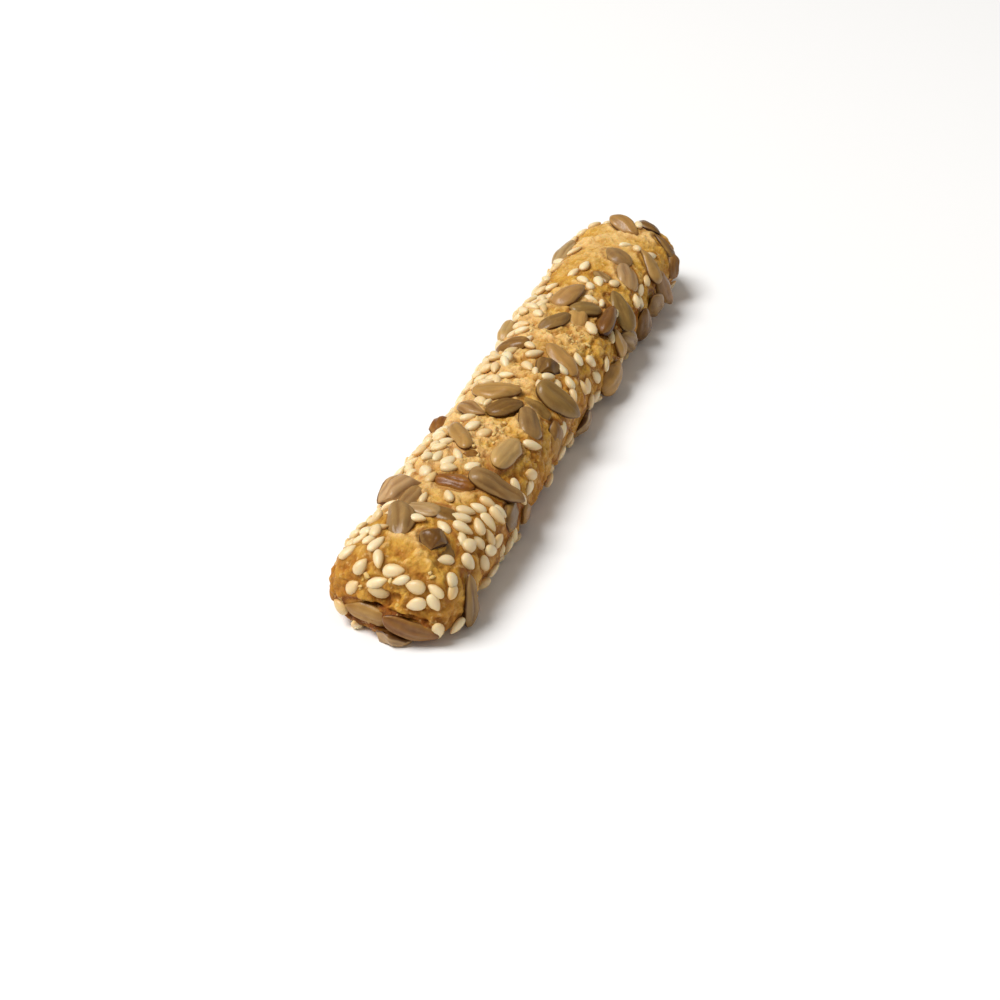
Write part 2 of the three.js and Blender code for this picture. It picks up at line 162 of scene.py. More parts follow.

# Sesame placed one by one: the pointed end's station and clock, the blunt end's, and the width
PLACED_SESAME = [
    (4.9, 52, 5.6, 82, 2.1), (8.6, 21.5, 6.2, 40.5, 1.9), (5.4, -4, 4, 34, 1.8),
    (3.9, 39, 2, 0, 2.1), (7.7, -14, 6.6, 9, 2.3), (5.4, -7, 7, -24, 1.4),
    (5.7, -25, 6.9, -50, 2.2), (7.6, -46, 8.4, -69, 1.7), (7.4, -83, 6.9, -59, 1.9),
    (3.6, -63, 6.3, -67, 2.1), (10.4, -63, 12.6, -59, 2.2), (9.6, -73, 11.5, -69, 2.1),
    (12.9, -35, 15.2, -49, 1.8), (9.8, -136, 7.1, -91, 2.0), (6.8, 9, 10.3, 14, 1.7),
    (13.5, 14, 9.6, 22, 1.8), (7.6, 99, 6.5, 124, 2.2), (27.5, 66, 24, 58, 2.0),
    (24, 64, 20.5, 52, 2.1), (20.5, 58, 17.5, 50, 2.0), (17, 18, 15.8, 36, 2.0),
    (16.3, 46, 15.2, 32, 1.9), (14.5, 33, 13.3, 48, 2.0), (15.5, 55, 13, 52, 2.0),
    (14.5, 25, 11.7, 30, 2.0), (16, 25, 13.7, 24, 1.9), (11.5, 38, 9.7, 56, 1.9),
    (25.2, 18, 25.5, 30, 1.2), (25.2, 34, 24.6, 47, 1.2), (27, -37, 26, -19, 2.1),
    (28.6, -31, 28.9, -43, 1.9), (23.6, -17, 25, -38, 2.0), (22.5, -46, 22.3, -24, 2.3),
    (26, -40, 23.8, -56, 2.0), (27.6, -69, 28, -41, 2.1), (29.6, -69, 30, -45, 1.9),
    (31.3, -66, 31, -49, 2.0), (31.3, -54, 31, -32, 1.9), (25.6, -59, 25.3, -73, 2.0),
    (22.5, -52, 23.2, -67, 1.9), (21.1, -38, 19.9, -45, 1.8), (21.7, -54, 18.8, -50, 2.3),
    (17.5, -73, 17.2, -53, 2.5), (22.7, -94, 21, -76, 2.2), (25.5, -84, 22.9, -72, 1.9),
    (28.6, -77, 25.9, -80, 2.0), (30, -93, 30, -112, 1.8), (26.5, -101, 24.5, -115, 2.0),
    (40.5, -90, 39.3, -69, 1.3), (20.4, -5, 20.4, 7, 2.0), (21.7, -12, 20, -27, 1.8),
    (30.3, -2, 27, -12, 1.6), (28, 9, 25.5, 8, 1.3), (27.8, 15, 25.5, 16, 1.3),
    (36.3, 31, 33.5, 20, 2.3), (48, 47, 46.5, 60, 2.1), (50, 62, 48, 68, 2.0),
    (47, 63, 45, 70, 2.0), (45, 68, 42, 66, 2.0), (46.5, 45, 44.8, 55, 2.0),
    (42.5, 52, 40, 62, 2.1), (40, 68, 37.5, 62, 2.1), (41.2, 16, 40.5, 30, 1.9),
    (39.5, 7, 36.5, 12, 2.3), (36.2, -1, 35.4, 11, 2.0), (34, 14, 31.9, 17, 1.8),
    (44, 17, 42.7, 29, 2.2), (45.6, 27, 44.6, 40, 2.3), (42.2, 12, 38.8, 1, 1.6),
    (38.9, -15, 36.8, -5, 2.1), (49.2, -6, 47.2, 3, 2.1), (53.6, 16, 52.3, 28, 1.8),
    (50, 5, 48.5, 12, 2.2), (51.9, -60, 50, -39, 1.7), (43.8, -60, 46.5, -74, 2.0),
    (39.8, -68, 41, -55, 1.9), (43, -85, 45, -76, 1.9), (61.6, -84, 64.6, -70, 2.1),
    (60.2, -103, 62.7, -95, 2.4), (74.5, 42, 71.8, 50, 2.3), (74.8, 27, 73.8, 41, 2.0),
    (78.5, 20, 76.6, 27, 1.9), (77.6, 24, 75.8, 30, 1.3), (68.8, 22, 68.2, 36, 1.7),
    (69.2, 8, 69, 20, 1.7), (67, 36, 66, 48, 1.8), (65.8, 46, 64.5, 58, 1.8),
    (72, 72, 70, 66, 2.0), (74.8, 70, 73, 76, 2.0), (77, 64, 75, 70, 2.0), (80.5, 60, 78, 68, 2.0),
    (83, 62, 80.5, 58, 2.0), (62.3, 45, 60.5, 60, 2.1), (57.2, 14, 59.9, 25, 2.1),
    (59.6, 10, 57.2, 13, 1.2), (58, 52, 55.8, 62, 2.1), (56.3, 62, 54.5, 69, 1.9),
    (64.5, 58, 62.5, 64, 2.0), (79, -5, 76.4, 8, 1.9), (72, -3.5, 74.8, 6, 2.0),
    (70.7, -9, 72.8, -6, 1.3), (72, -27, 70.2, -18, 1.8), (71, -41, 72.3, -30, 2.0),
    (73.8, -41, 72.6, -52, 1.9), (71, -66, 72.4, -55, 1.5), (76.2, -24, 74.9, -38, 1.9),
    (69.3, -16, 66.3, -21, 1.3), (93.8, -24, 90.7, -40, 2.2), (84.2, -64, 82.8, -46, 2.0),
    (81.5, -34, 80, -44, 2.0), (82.3, -69, 84.5, -86, 2.2), (79.5, -66, 78.8, -84, 2.0),
    (77, -58, 76.3, -76, 2.0), (80, -88, 78, -97, 1.9), (83.5, -94, 81.5, -102, 1.9),
    (79, 3, 80.6, 14, 1.9), (84, 13, 81.2, 16, 1.2), (86, 20, 85.5, 34, 1.9),
    (87.5, 36, 86, 50, 2.0), (92.5, 40, 90, 52, 2.1), (89, 28, 90, 40, 1.8),
    (97.5, 47, 95, 58, 2.0), (92, 17, 94, 27, 1.9), (101, 36, 98.3, 50, 2.1),
    (98.5, 20, 96.6, 32, 2.1), (97.2, -14, 99, -6, 1.7), (101.8, -20, 102.4, -8, 1.8),
    (104, -24, 101, -28, 1.3), (96.6, -55, 94.9, -67, 1.7), (89, -70, 87.5, -82, 1.9),
    (108.5, -15, 112.3, -6, 2.1), (112.2, -31, 109.6, -24, 1.9), (108.3, -2, 110.8, 8, 2.1),
    (109, -3, 105.8, -8, 1.8), (113.5, 15, 112, 21, 1.6), (116.8, 8, 114.1, 11, 1.9),
    (119.5, 45, 116.5, 58, 2.2), (107, 40, 104.8, 50, 1.9), (107.3, 28, 105.7, 37, 1.9),
    (103, 44, 100, 56, 2.2), (111.5, -57, 110.6, -67, 1.7), (115, -66, 113.5, -80, 2.0),
    (121.8, -56, 119.5, -64, 1.9), (117.5, -58, 115, -64, 1.9), (104, -45, 101.8, -50, 1.2),
    (128.5, -22, 126.2, -28, 1.9), (128, -16, 127, -9, 1.5), (130, -50, 127.2, -38, 1.8),
    (125.6, 30, 122.6, 44, 2.3), (140.5, 12, 138.5, 24, 1.9), (139.2, 30, 137.6, 42, 1.9),
    (136.8, 44, 135.4, 56, 1.8), (139.2, -10, 136.6, -14, 1.9), (134.5, 56, 132.5, 66, 1.9),
    (146.5, -15, 143.6, -28, 2.0), (144.6, 22, 143.9, 52, 2.0), (148.2, 20, 146.2, 75, 1.9),
    (143.4, 112, 143, 88, 2.0), (146.5, -75, 144.6, -60, 2.0), (143.2, -62, 142.6, -42, 2.1),
    (146.4, -130, 144, -150, 1.9), (142.6, 140, 142.2, 158, 2.0), (142.8, 5, 142.4, -14, 2.0),
    (142.6, 62, 142.3, 42, 1.9),
]

# Seeds by rule. Each rule has its own first draw, the least gap in mm, the stations and clocks it
# covers and how far its headings swing. The left edge is crowded from a clock on, and also within
# some reaches of a station and clock
DRAW = {"factor": 1664525, "step": 1013904223, "span": 2**32}
DRAW_STARTS = {"sesame": 17, "kernel hold": 23, "kernels": 31, "crumbs": 53}
KERNEL_RULE = {"start": 11, "gap": 7.6, "stations": (6, 134), "clocks": (82, 258), "swing": 100}
SESAME_RULE = {"start": 5, "gap": 2.6, "stations": (1.5, 141), "clocks": (-180, 180), "swing": 360}
EDGE_RULE = {"start": 9, "gap": 1.8, "stations": (11, 122), "clocks": (20, 106), "swing": 360}
EDGE_SESAME = 250
EDGE_CLOCK = 52
CROWDED = [(42, 42, 8), (71, 46, 6.5), (97, 50, 6), (24, 56, 4)]
HIDDEN_CLOCKS = (-102, 78)
RULE_SPOTS = 12000
KERNEL_CLEARANCE = 0.52
SESAME = {"length": 3.2, "width": 2.0, "height": 0.62}
PLACED_LENGTH = (2.9, 3.6)
KERNEL_SIZE = {"length": (7.4, 9.6), "width": (3.8, 5.2), "height": (0.6, 1.4)}

# Where sesame by rule lies thicker or thinner: station, clock, reach in mm, chance added
SESAME_CHANCE = 0.42
SESAME_PATCHES = [
    (42, 45, 11, 0.8),
    (24, -62, 11, 0.7),
    (17, 62, 8, 0.8),
    (74, 30, 9, 0.6),
    (76, -66, 9, 0.8),
    (93, 40, 9, 0.5),
    (13, -8, 6, -0.9),
    (50, -55, 9, -0.9),
    (50, -10, 6, -0.6),
    (86, -22, 8, -0.9),
    (118, 10, 10, -0.5),
    (132, 10, 10, -0.8),
    (5, 175, 9, -0.6),
]

# The form of a kernel: the powers of its outline and its depth, its furrows, its wandering as a
# grain, a reach and a number, its streaks, and where its masks begin and how they fade. Then
# what differs from one to the next, least and most
KERNEL_FORM = {
    "blunt": 2.3,
    "point": 0.72,
    "deep_blunt": 2.6,
    "deep_point": 0.6,
    "thickness": 0.46,
    "furrow": 1.6,
    "slant": 0.8,
    "wander": (2.6, 0.3, 41),
    "dents": (1.3, 0.1, 45),
    "streak_stretch": 0.12,
    "streak_apart": 3.7,
    # How strongly the furrows take painted shade
    "furrow_mask": 9,
    "tip": (0.7, 0.3),
    "end": (0.85, 0.15),
    "blunt_tip": 0.3,
    "edge": (0.42, 0.14),
    # Where the painted shade round the lower rim and underneath begins and how it fades
    "under": (0.26, 0.2),
}
KERNEL_RANGES = {
    "widest": (-0.4, 0.05),
    "pointed": (1.5, 2.6),
    "flatness": (2.5, 3.6),
    "steepness": (0.62, 0.88),
    "waves": (2.2, 3.6),
    "phase": (0, 6.3),
    "curl": (-0.16, 0.16),
    "arch": (-0.1, 0.25),
    "tilt": (-0.06, 0.06),
    "roll": (-0.08, 0.08),
    "brightness": (0.9, 1.1),
    "hue": (0.97, 1.03),
    "lip": (0.04, 0.42),
}
SUNK = 0.6
CHIPPED_BELOW = 0.75
SKIN = {"from_coat": 0.45, "over": 0.1, "spread": 0.3}

# The planes that a broken kernel is chipped along, and how far out each lies
CHIP_PLANES = [
    ((0.82, 0.2, 0.53), 0.5),
    ((-0.5, 0.55, 0.67), 0.55),
    ((0.1, -0.75, 0.65), 0.55),
    ((-0.8, -0.5, 0.1), 0.7),
]

# The form of a sesame: how it tapers and where its point and its yellow tip begin, as shares of
# its half length
SESAME_FORM = {
    "taper": 0.2,
    "thinning": 0.22,
    "point": 0.22,
    "point_from": 0.2,
    "tip_from": 0.45,
    "dents": (1.0, 0.05, 81),
}

# What differs from one sesame to the next, least and most. Then the thickness as a share of the
# width, the lift and the ring's shade for all, the powers of the toasting's draw, and how deep,
# how proud and how far turned each lies, by rule and placed one by one
SESAME_RANGES = {
    "length": (0.9, 1.08),
    "width": (0.84, 1.06),
    "thickness": (0.85, 1.15),
    "lip": (0.0, 0.16),
    "brightness": (0.95, 1.04),
}
SESAME_THICKNESS = 0.66
SESAME_LIFT = 0.08
SESAME_SHADE = 0.6
TOASTING = (1.1, 3.6)
PLACED_SCALE = 1.06
DEEPEST = -0.15
PROUDEST = {"ruled": 0.6, "placed": 0.4}
TILT_SPREAD = {"all": 0.13, "ruled": 1.8, "placed": 0.6}
ROLL_SPREAD = {"all": 0.22, "ruled": 1.7, "placed": 0.6}

# Kernel tones, as linear colours, and how deep their ridges run
KERNEL_TONES = {
    "pale": ((0.52, 0.33, 0.11), 0.05),
    "ash": ((0.46, 0.29, 0.125), 0.09),
    "tan": ((0.43, 0.235, 0.063), 0.05),
    "grey": ((0.325, 0.185, 0.06), 0.11),
    "olive": ((0.27, 0.148, 0.036), 0.06),
    "brown": ((0.28, 0.13, 0.024), 0.06),
    "umber": ((0.19, 0.09, 0.014), 0.07),
    "dark": ((0.165, 0.07, 0.007), 0.05),
    "dun": ((0.28, 0.15, 0.048), 0.06),
    "russet": ((0.175, 0.065, 0.008), 0.06),
    "amber": ((0.24, 0.086, 0.005), 0.09),
}
RULE_TONES = ["tan", "grey", "olive", "brown", "umber", "ash", "grey", "tan"]
RULE_COATS = (0, 0.15, 0.3)

# How the dough holds a seed, in mm and as oval distances from its middle. The ring is a band of
# painted shade round the seed
HOLD = {
    "band": 2,
    "depth": 3,
    "lip": (0.5, 0.4),
    "ring": (0.1, 0.32),
    "skin": 1.15,
    "press": (1.3, 0.4),
}

# Noises of the dough: each has a grain in mm, then a height or a reach in mm where it has one,
# and its own number
SOFT_NOISES = {
    "kneading": (6.5, 0.42, 1),
    "swell": (3.1, 0.26, 2),
    "grit": (0.95, 0.11, 4),
    "fine grit": (0.6, 0.06, 6),
    "flakes": (1.9, 1, 70),
    "creases": (1.05, 1, 75),
    "pits": (1.3, 1, 13),
    "crags": (3.4, 1, 14),
    "small crags": (1.3, 0.4, 15),
    "browning": (6.5, 1, 21),
    "fine browning": (2.6, 0.8, 22),
    "ragged lips": (1.4, 1.4, 91),
}
PUSHES = {"clumps": (1.6, 0.8, 60), "creases": (0.9, 0.4, 66)}
DOMES = {"clumps": (2.7, 5), "crumbs": (1.25, 9)}
DOME_MIDDLE = 0.7
JITTER = 0.42
CREASE_WIDTH = 0.35
CRAG_WIDTH = 0.3
PITS = {"from": 0.45, "fade": 0.25, "depth": 0.22}
LEDGE = {"tread": 0.3, "riser": 0.4, "steps": 3}

# The height of each kind of relief where the crust is smooth and where it is crumbly. The three
# shades give how much the clumps, the crumbs and the pits add to the painted shade of the crevices
RELIEF = {
    "clumps": (0.16, 1.0),
    "crumbs": (0.1, 1.0),
    "creases": (0.12, 0.7),
    "flakes": (0.03, 0.42),
    "pits": (0.25, 1),
    "clump shade": (0.3, 1),
    "crumb shade": (0.25, 1),
    "pit shade": (0.3, 1),
}
TORN_RELIEF = {"crags": 0.6, "flakes": 0.3}

# Which part of the crust is torn: up to a station and a height, each with its fade
TORN = {"station": 5.5, "station_fade": 3.5, "height": 9.5, "height_fade": 3}
CUT_FADE = {"station": 12, "x": -60, "fade": 4}

# Where the crust is crumbly: station, clock, reach in mm, roughness added
PLAIN_ROUGHNESS = 0.32
CRUMBLY = [
    (50, -12, 8, 1.0),
    (88, -15, 8, 0.7),
    (68, -10, 5, 0.8),
    (42, 50, 9, 0.8),
    (12, 0, 6, 0.35),
    (38, 25, 6, 0.5),
    (76, 20, 7, 0.6),
    (94, 45, 8, 0.5),
    (108, -70, 9, 0.4),
    (1, 180, 9, 0.4),
    (60, 150, 12, 0.4),
    (105, 110, 12, 0.4),
]

# Where the crust swells: station, clock, reach and rise in mm
SWOLLEN = [(43, 62, 8, 1.0), (70, 62, 7, 0.5), (101, 60, 8, 0.4)]

# Crumbs placed one by one: station and clock
PLACED_CRUMBS = [(5.7, 27), (9.2, -37), (8.9, -42), (41.5, -8), (43, -2)]

# The form of a crumb and where crumbs may lie, in mm
CRUMB_FORM = {
    "rings": 4,
    "sides": 7,
    "spots_for_each": 24,
    "least_rough": 0.3,
    "above": 1.2,
    "off_kernels": 0.6,
    "off_sesame": 0.3,
    "off_ends": 1,
    "sizes": (0.25, 0.75),
    "size_draw": (1.3, 4),
    "placed_size": 0.5,
    "lumpiness": (0.65, 1.25),
    "squash": (0.6, 1.3),
    "shape": (1.2, 0.85, 0.45),
    "proud": 0.2,
    "paleness": (0.9, 1.8),
}

# How the dough's mesh and masks are made: how far its columns gather at the crest, the skin that
# hides the ring of painted shade and that stains, where the relief fades at the poles, and how weak
# the rings of painted shade are on pale crust
DOUGH_FORM = {
    "gathered": 0.2,
    "hiding_skin": 0.5,
    "staining_skin": 0.6,
    "pole_fade": 0.8,
    "pale_ring": 0.3,
    "pale_bake": 0.3,
    "probe": 0.3,
}
# How dark the crevices are painted, as painted shade: a little all over, more in the hollows
# between clumps and crumbs, in the pits and in the cuts of the torn end
CREVICE_SHADE = {"plain": 0.1, "grain": -0.75, "pits": 0.3, "cut": 0.6}

# How far the crust is baked: the plain crust, then what each place and patch adds. Some of it is
# painted light and shade: the low sides are browner partly from baking and partly as painted shade,
# the right flank is browner as painted shade, what stands up on the dough is paler and what lies
# low darker as painted light and shade, and the lips round the kernels are paler as a painted
# highlight. For the loose crumbs the share of what stands up sets their own paleness
BAKE = {
    "plain": 0.33,
    "tip": 0.18,
    "tail": 0.14,
    "low": 0.3,
    "right": 0.2,
    "patchy": 0.09,
    "standing": -0.27,
    "torn": 0.04,
    "lip": -0.5,
}
BAKE_REACH = {"end": 12, "low": 7, "right_from": 3, "right": 8}

# Where the crust is baked more or less: station, clock, reach in mm, browning added. The pale
# patches high on the left flank, at clocks 50 to 66, are partly pale crust and partly painted
# light, and the two browner ones on the right flank, at clocks -62 and -65, are painted shade
BAKED_PATCHES = [
    (8, 88, 5.5, 0.34),
    (3, -120, 5, 0.2),
    (13, 14, 6, 0.12),
    (13, -16, 6, -0.04),
    (8, -2, 5, -0.1),
    (2.5, 20, 5, -0.04),
    (3, -60, 5, 0.08),
    (132, 10, 11, -0.2),
    (50, -12, 7, -0.1),
    (88, -15, 9, -0.16),
    (68, -10, 5, -0.1),
    (42, 50, 10, -0.5),
    (56, 66, 9, -0.3),
    (70, 60, 8, -0.3),
    (86, 60, 9, -0.32),
    (27, 62, 8, -0.24),
    (28, -4, 5, -0.12),
    (30, -62, 10, 0.08),
    (52, -65, 9, 0.12),
]

# Crevices of the torn end: from y, z to y, z across the end, then depth and half width
END_CUTS = [
    (4.6, 6.0, 1.6, 6.1, 0.4, 0.24),
    (1.6, 6.1, -2.2, 6.1, 0.7, 0.28),
    (-2.2, 6.1, -5.6, 5.0, 0.6, 0.28),
    (-4.4, 7.2, -5.2, 7.0, 0.5, 0.28),
    (2.6, 2.7, -0.2, 1.8, 1.0, 0.36),
    (-0.2, 1.8, -2.8, 0.8, 1.2, 0.42),
]

# Tints laid over a finish, as linear colours, how strongly, and whether each replaces or
# darkens what lies below it
CRUST_STOPS = {"pale_crumb": 0.0, "golden_crust": 0.34, "amber_crust": 0.66, "brown_crust": 1.0}
# The crevice and ring tints are painted shade, in the crust's hollows and round its seeds
CRUST_SHADE_TINTS = {
    "crevice_shade": ((0.5, 0.24, 0.035), 1, "MULTIPLY"),
    "ring": ((0.38, 0.165, 0.02), 0.8, "MULTIPLY"),
}
# Painted shade in the pores, where the fine grain lies low
PORE_SHADE_TINT = ((0.84, 0.66, 0.42), 1, "MULTIPLY")
STAIN_TINT = ((0.38, 0.22, 0.075), 0.5, "MIX")
# Of the kernel tints, furrow and under are painted shade, in the furrows and round the lower rim
# and underside
KERNEL_TINTS = {
    "furrow": ((0.62, 0.5, 0.38), 1, "MULTIPLY"),
    "edge": ((0.58, 0.37, 0.13), 0.35, "MIX"),
    "tip": ((0.45, 0.33, 0.22), 0.45, "MULTIPLY"),
    "under": ((0.3, 0.19, 0.1), 1, "MULTIPLY"),
}
# The sesame's rim tint is painted shade round its edge
SESAME_TINTS = {
    "tip": ((0.86, 0.69, 0.40), 0.6, "MULTIPLY"),
    "rim": ((0.84, 0.66, 0.36), 0.7, "MULTIPLY"),
}
MOTTLE_TINT = ((0.90, 0.80, 0.60), 1, "MULTIPLY")
FLOOR_TINT = ((0.7, 0.7, 0.7), 0.02, "MIX")

# The shared grain: each input's own scale for a metre, then its noise's detail and roughness. The
# crumbs are cells whose places are pushed by the speck noise, up to a reach in metres
FINE_GRAIN = {
    "Grain": (1600.0, 4.0, 0.6),
    "Speck": (900.0, 2.0, 0.55),
    "Mottle": (180.0, 3.0, 0.55),
}
SPECKS = {"from": 0.6, "gain": 9.0}
CRUMB_CELLS = {"scale": 750.0, "detail": 1.0, "push": 0.0006}

# How each finish varies: gains of the shared grain, the streaks as a scale, a detail and a
# roughness, dust from a level with a gain, and the height and strength of its bumps
DOUGH_LOOK = {
    "mottle": 0.75,
    # How strongly the pores take painted shade
    "pores": 2.6,
    "flecks": 0.5,
    "crumbs": 0.9,
    "roughness": 0.42,
    "dull": 0.5,
    "bumps": (0.0005, 0.7),
}
KERNEL_LOOK = {
    "streaks": (1.1, 3.0, 0.5),
    "contrast": 0.45,
    "darkest": 0.55,
    "dust": (0.42, 5.0),
    "flecks": 0.17,
    "grain": 0.5,
    "bumps": (0.00025, 0.5),
}
SESAME_LOOK = {"mottle": 1.2, "bumps": (0.00006, 0.3)}
MIDDLE = 0.5

# What is the same all over each finish
FINISHES = {
    "Baked Dough": {
        "Specular IOR Level": 0.2,
        "Subsurface Weight": 0.3,
        "Subsurface Radius": (1.0, 0.55, 0.2),
        "Subsurface Scale": 0.001,
    },
    "Sunflower Kernel": {
        "Roughness": 0.34,
        "Specular IOR Level": 0.4,
        "Subsurface Weight": 0.2,
        "Subsurface Radius": (1.0, 0.6, 0.3),
        "Subsurface Scale": 0.0008,
    },
    "Sesame": {
        "Roughness": 0.38,
        "Specular IOR Level": 0.45,
        "Subsurface Weight": 0.35,
        "Subsurface Radius": (1.0, 0.65, 0.3),
        "Subsurface Scale": 0.001,
    },
    "Pale Floor": {"Roughness": 0.9, "Specular IOR Level": 0.1},
}

# ---------------------------------------------------------------- numbers and noise


def bump(distance, reach):
    """A bell: 1 at no distance, falling as the square of distance over reach."""
    return np.exp(-((distance / reach) ** 2))


def ease(t):
    """A smooth step from 0 to 1: three t squared less two t cubed, held at both ends."""
    c = np.clip(t, 0, 1)
    return c * c * (3 - 2 * c)


def mix(low, high, share):
    """The value that lies the given share of the way from low to high."""
    return low + (high - low) * share


def signed_power(value, power):
    """The size of a value raised to a power, with the value's own sign kept."""
    return np.sign(value) * np.abs(value) ** power


def hashed(cells, seed):
    """A number from -1 to 1 for each lattice cell: its whole-number coordinates are multiplied
    by large odd factors, folded together and scaled."""
    x, y, z = np.moveaxis(cells, -1, 0)
    mixed = (x * 73856093) ^ (y * 19349663) ^ (z * 83492791)
    mixed = (mixed + seed * 2654435761) & 0xFFFFFFFF
    mixed = ((mixed ^ (mixed >> 15)) * 739982445) & 0xFFFFFFFF
    mixed = ((mixed ^ (mixed >> 12)) * 695872825) & 0xFFFFFFFF
    return ((mixed ^ (mixed >> 15)) & 0xFFFFFF) / 0x800000 - 1


def value_noise(points, grain, seed):
    """Soft noise from -1 to 1: a point takes the smoothly weighted mean of the hashed numbers
    at the eight corners of its lattice cell."""
    spot = points / grain
    cell = np.floor(spot).astype(np.int64)
    t = ease(spot - cell)
    total = np.zeros(points.shape[:-1])
    for corner in np.ndindex(2, 2, 2):
        weight = np.prod(np.where(np.array(corner) == 1, t, 1 - t), axis=-1)
        total += weight * hashed(cell + np.array(corner), seed)
    return total


def soft_noise(points, kind):
    """One of the dough's own soft noises: its height times the value noise of its grain."""
    grain, height, seed = SOFT_NOISES[kind]
    return height * value_noise(points, grain, seed)


def noise_push(points, grain, reach, seed):
    """A push for each point, up to a reach: three soft noises, one for each axis."""
    return reach * np.stack([value_noise(points, grain, seed + k) for k in range(3)], axis=-1)


def dome_noise(points, grain, seed):
    """Domes that meet in creases: every lattice cell holds one jittered centre, and a point's
    value is 1 less its squared distance to the nearest centre, in grains."""
    spot = points / grain
    cell = np.floor(spot).astype(np.int64)
    nearest = np.full(points.shape[:-1], np.inf)
    for step in np.ndindex(3, 3, 3):
        near = cell + np.array(step) - 1
        jitter = np.stack([hashed(near, seed + k) for k in range(3)], axis=-1)
        centre = near + 0.5 + JITTER * jitter
        nearest = np.minimum(nearest, ((spot - centre) ** 2).sum(-1))
    return 1 - np.clip(nearest, 0, 1)


def ledges(values, steps):
    """Turns smooth values into ledges: flat treads with a soft riser between them, a given
    number of steps for each unit of the value."""
    level = values * steps
    tread = np.floor(level)
    return (tread + ease((level - tread - LEDGE["tread"]) / LEDGE["riser"])) / steps


def draws(start, count, columns):
    """Even draws from 0 to 1 in rows: each state is the last one times a factor plus a step,
    kept within its span."""
    state = start
    values = []
    for _ in range(count * columns):
        state = (state * DRAW["factor"] + DRAW["step"]) % DRAW["span"]
        values.append(state / DRAW["span"])
    return np.array(values).reshape(count, columns)


# ---------------------------------------------------------------- the crust


def girth_share(x):
    """Share of the full girth at X: 1 along the stick, falling to 0 over each rounded end as a
    superellipse."""
    length = np.where(x < 0, TIP["length"], TAIL["length"])
    power = np.where(x < 0, TIP["power"], TAIL["power"])
    depth = np.clip((np.abs(x) - (HALF - length)) / length, 0, 1)
    return (1 - depth**power) ** (1 / power)


def length_profile():
    """Run, X and girth share at samples along the crest, closer together near the ends. The run
    is the sum of the steps' lengths, with the girth share scaled by the mean radius."""
    u = np.linspace(-1, 1, PROFILE_STEPS + 1)
    x = np.sign(u) * HALF * (1 - (1 - np.abs(u)) ** 2)
    girth = girth_share(x)
    steps = np.hypot(np.diff(x), np.diff(girth) * MEAN_RADIUS)
    return np.concatenate([[0], np.cumsum(steps)]), x, girth


RUNS, PROFILE_X, PROFILE_GIRTH = length_profile()
FULL_RUN = RUNS[-1]


def half_width(x, side):
    """Half width of the dough at X on one side: a gentle taper plus the swellings."""
    s = x / HALF
    width = LEFT_HALF_WIDTH + LEFT_WIDENING * s
    if side == "right":
        width = RIGHT_HALF_WIDTH + RIGHT_WIDENING * s + RIGHT_END_WIDENING * s * s
    for where, middle, reach, swelling in SWELLINGS:
        if where == side:
            width = width + swelling * bump(x - middle, reach)
    return width


def lump(station, clock):
    """The low lumps: a sum of sines that run along and round the stick."""
    return sum(
        size * np.sin(waves * station + turns * clock + phase)
        for size, waves, turns, phase in LUMPS
    )


def crust(station, clock_degrees):
    """Points of the crust: the section is a superellipse, domed above its widest line and
    squarer below, scaled by the girth share and the lumps, leaned and skewed at the ends, and
    flat at its base."""
    station, clock_degrees = np.broadcast_arrays(
        np.asarray(station, float), np.asarray(clock_degrees, float)
    )
    clock = np.radians(clock_degrees)
    x = np.interp(station, RUNS, PROFILE_X)
    girth = np.interp(station, RUNS, PROFILE_GIRTH)
    crest = CREST_HEIGHT + CREST_RISE * x / HALF
    axis = AXIS_SHARE * crest
    sine, cosine = np.sin(clock), np.cos(clock)
    upper = cosine >= 0
    power = 2 / np.where(upper, UPPER_POWER, LOWER_POWER)
    scale = girth * (1 + lump(station, clock))
    width = np.where(sine >= 0, half_width(x, "left"), half_width(x, "right"))
    across = scale * width * signed_power(sine, power)
    up = scale * np.where(upper, crest - axis, axis) * signed_power(cosine, power)
    tip_lean = ease((END_REACH - HALF - x) / END_REACH) * (TIP["skew"] * across + TIP["rake"] * up)
    tail_lean = ease((END_REACH - HALF + x) / END_REACH) * (
        TAIL["skew"] * across - TAIL["rake"] * up
    )
    torn = CRAG["depth"] * ease(1 - station / CRAG["reach"])
    crag = torn * np.sin(CRAG["across"] * across + CRAG["up"] * up)
    bend = TIP_BEND["shift"] * bump(x - TIP_BEND["x"], TIP_BEND["reach"])
    height = np.maximum(axis + up, BASE_TRIM) - BASE_TRIM
    lengthwise = x + tip_lean + tail_lean + crag + PLACE[0]
    return np.stack([lengthwise, across + bend + PLACE[1], height], axis=-1)


def add_patches(values, points, patches):
    """Adds each patch's bell to the values at the points. A patch is a station, a clock, a reach
    in millimetres and the most that it adds."""
    for station, clock, reach, added in patches:
        distance = np.linalg.norm(points - crust(station, clock), axis=-1)
        values = values + added * bump(distance, reach)
    return values


def off_floor(points, gap=FLOOR_GAP):
    """Lifts whatever lies lower than the gap above the floor up to it."""
    points[..., 2] = np.maximum(points[..., 2], gap)
    return points


def unit(vectors):
    """Vectors scaled to length 1."""
    return vectors / np.maximum(np.linalg.norm(vectors, axis=-1, keepdims=True), 1e-9)


def dots(a, b):
    """Row by row dot products, kept as a column."""
    return (a * b).sum(-1, keepdims=True)


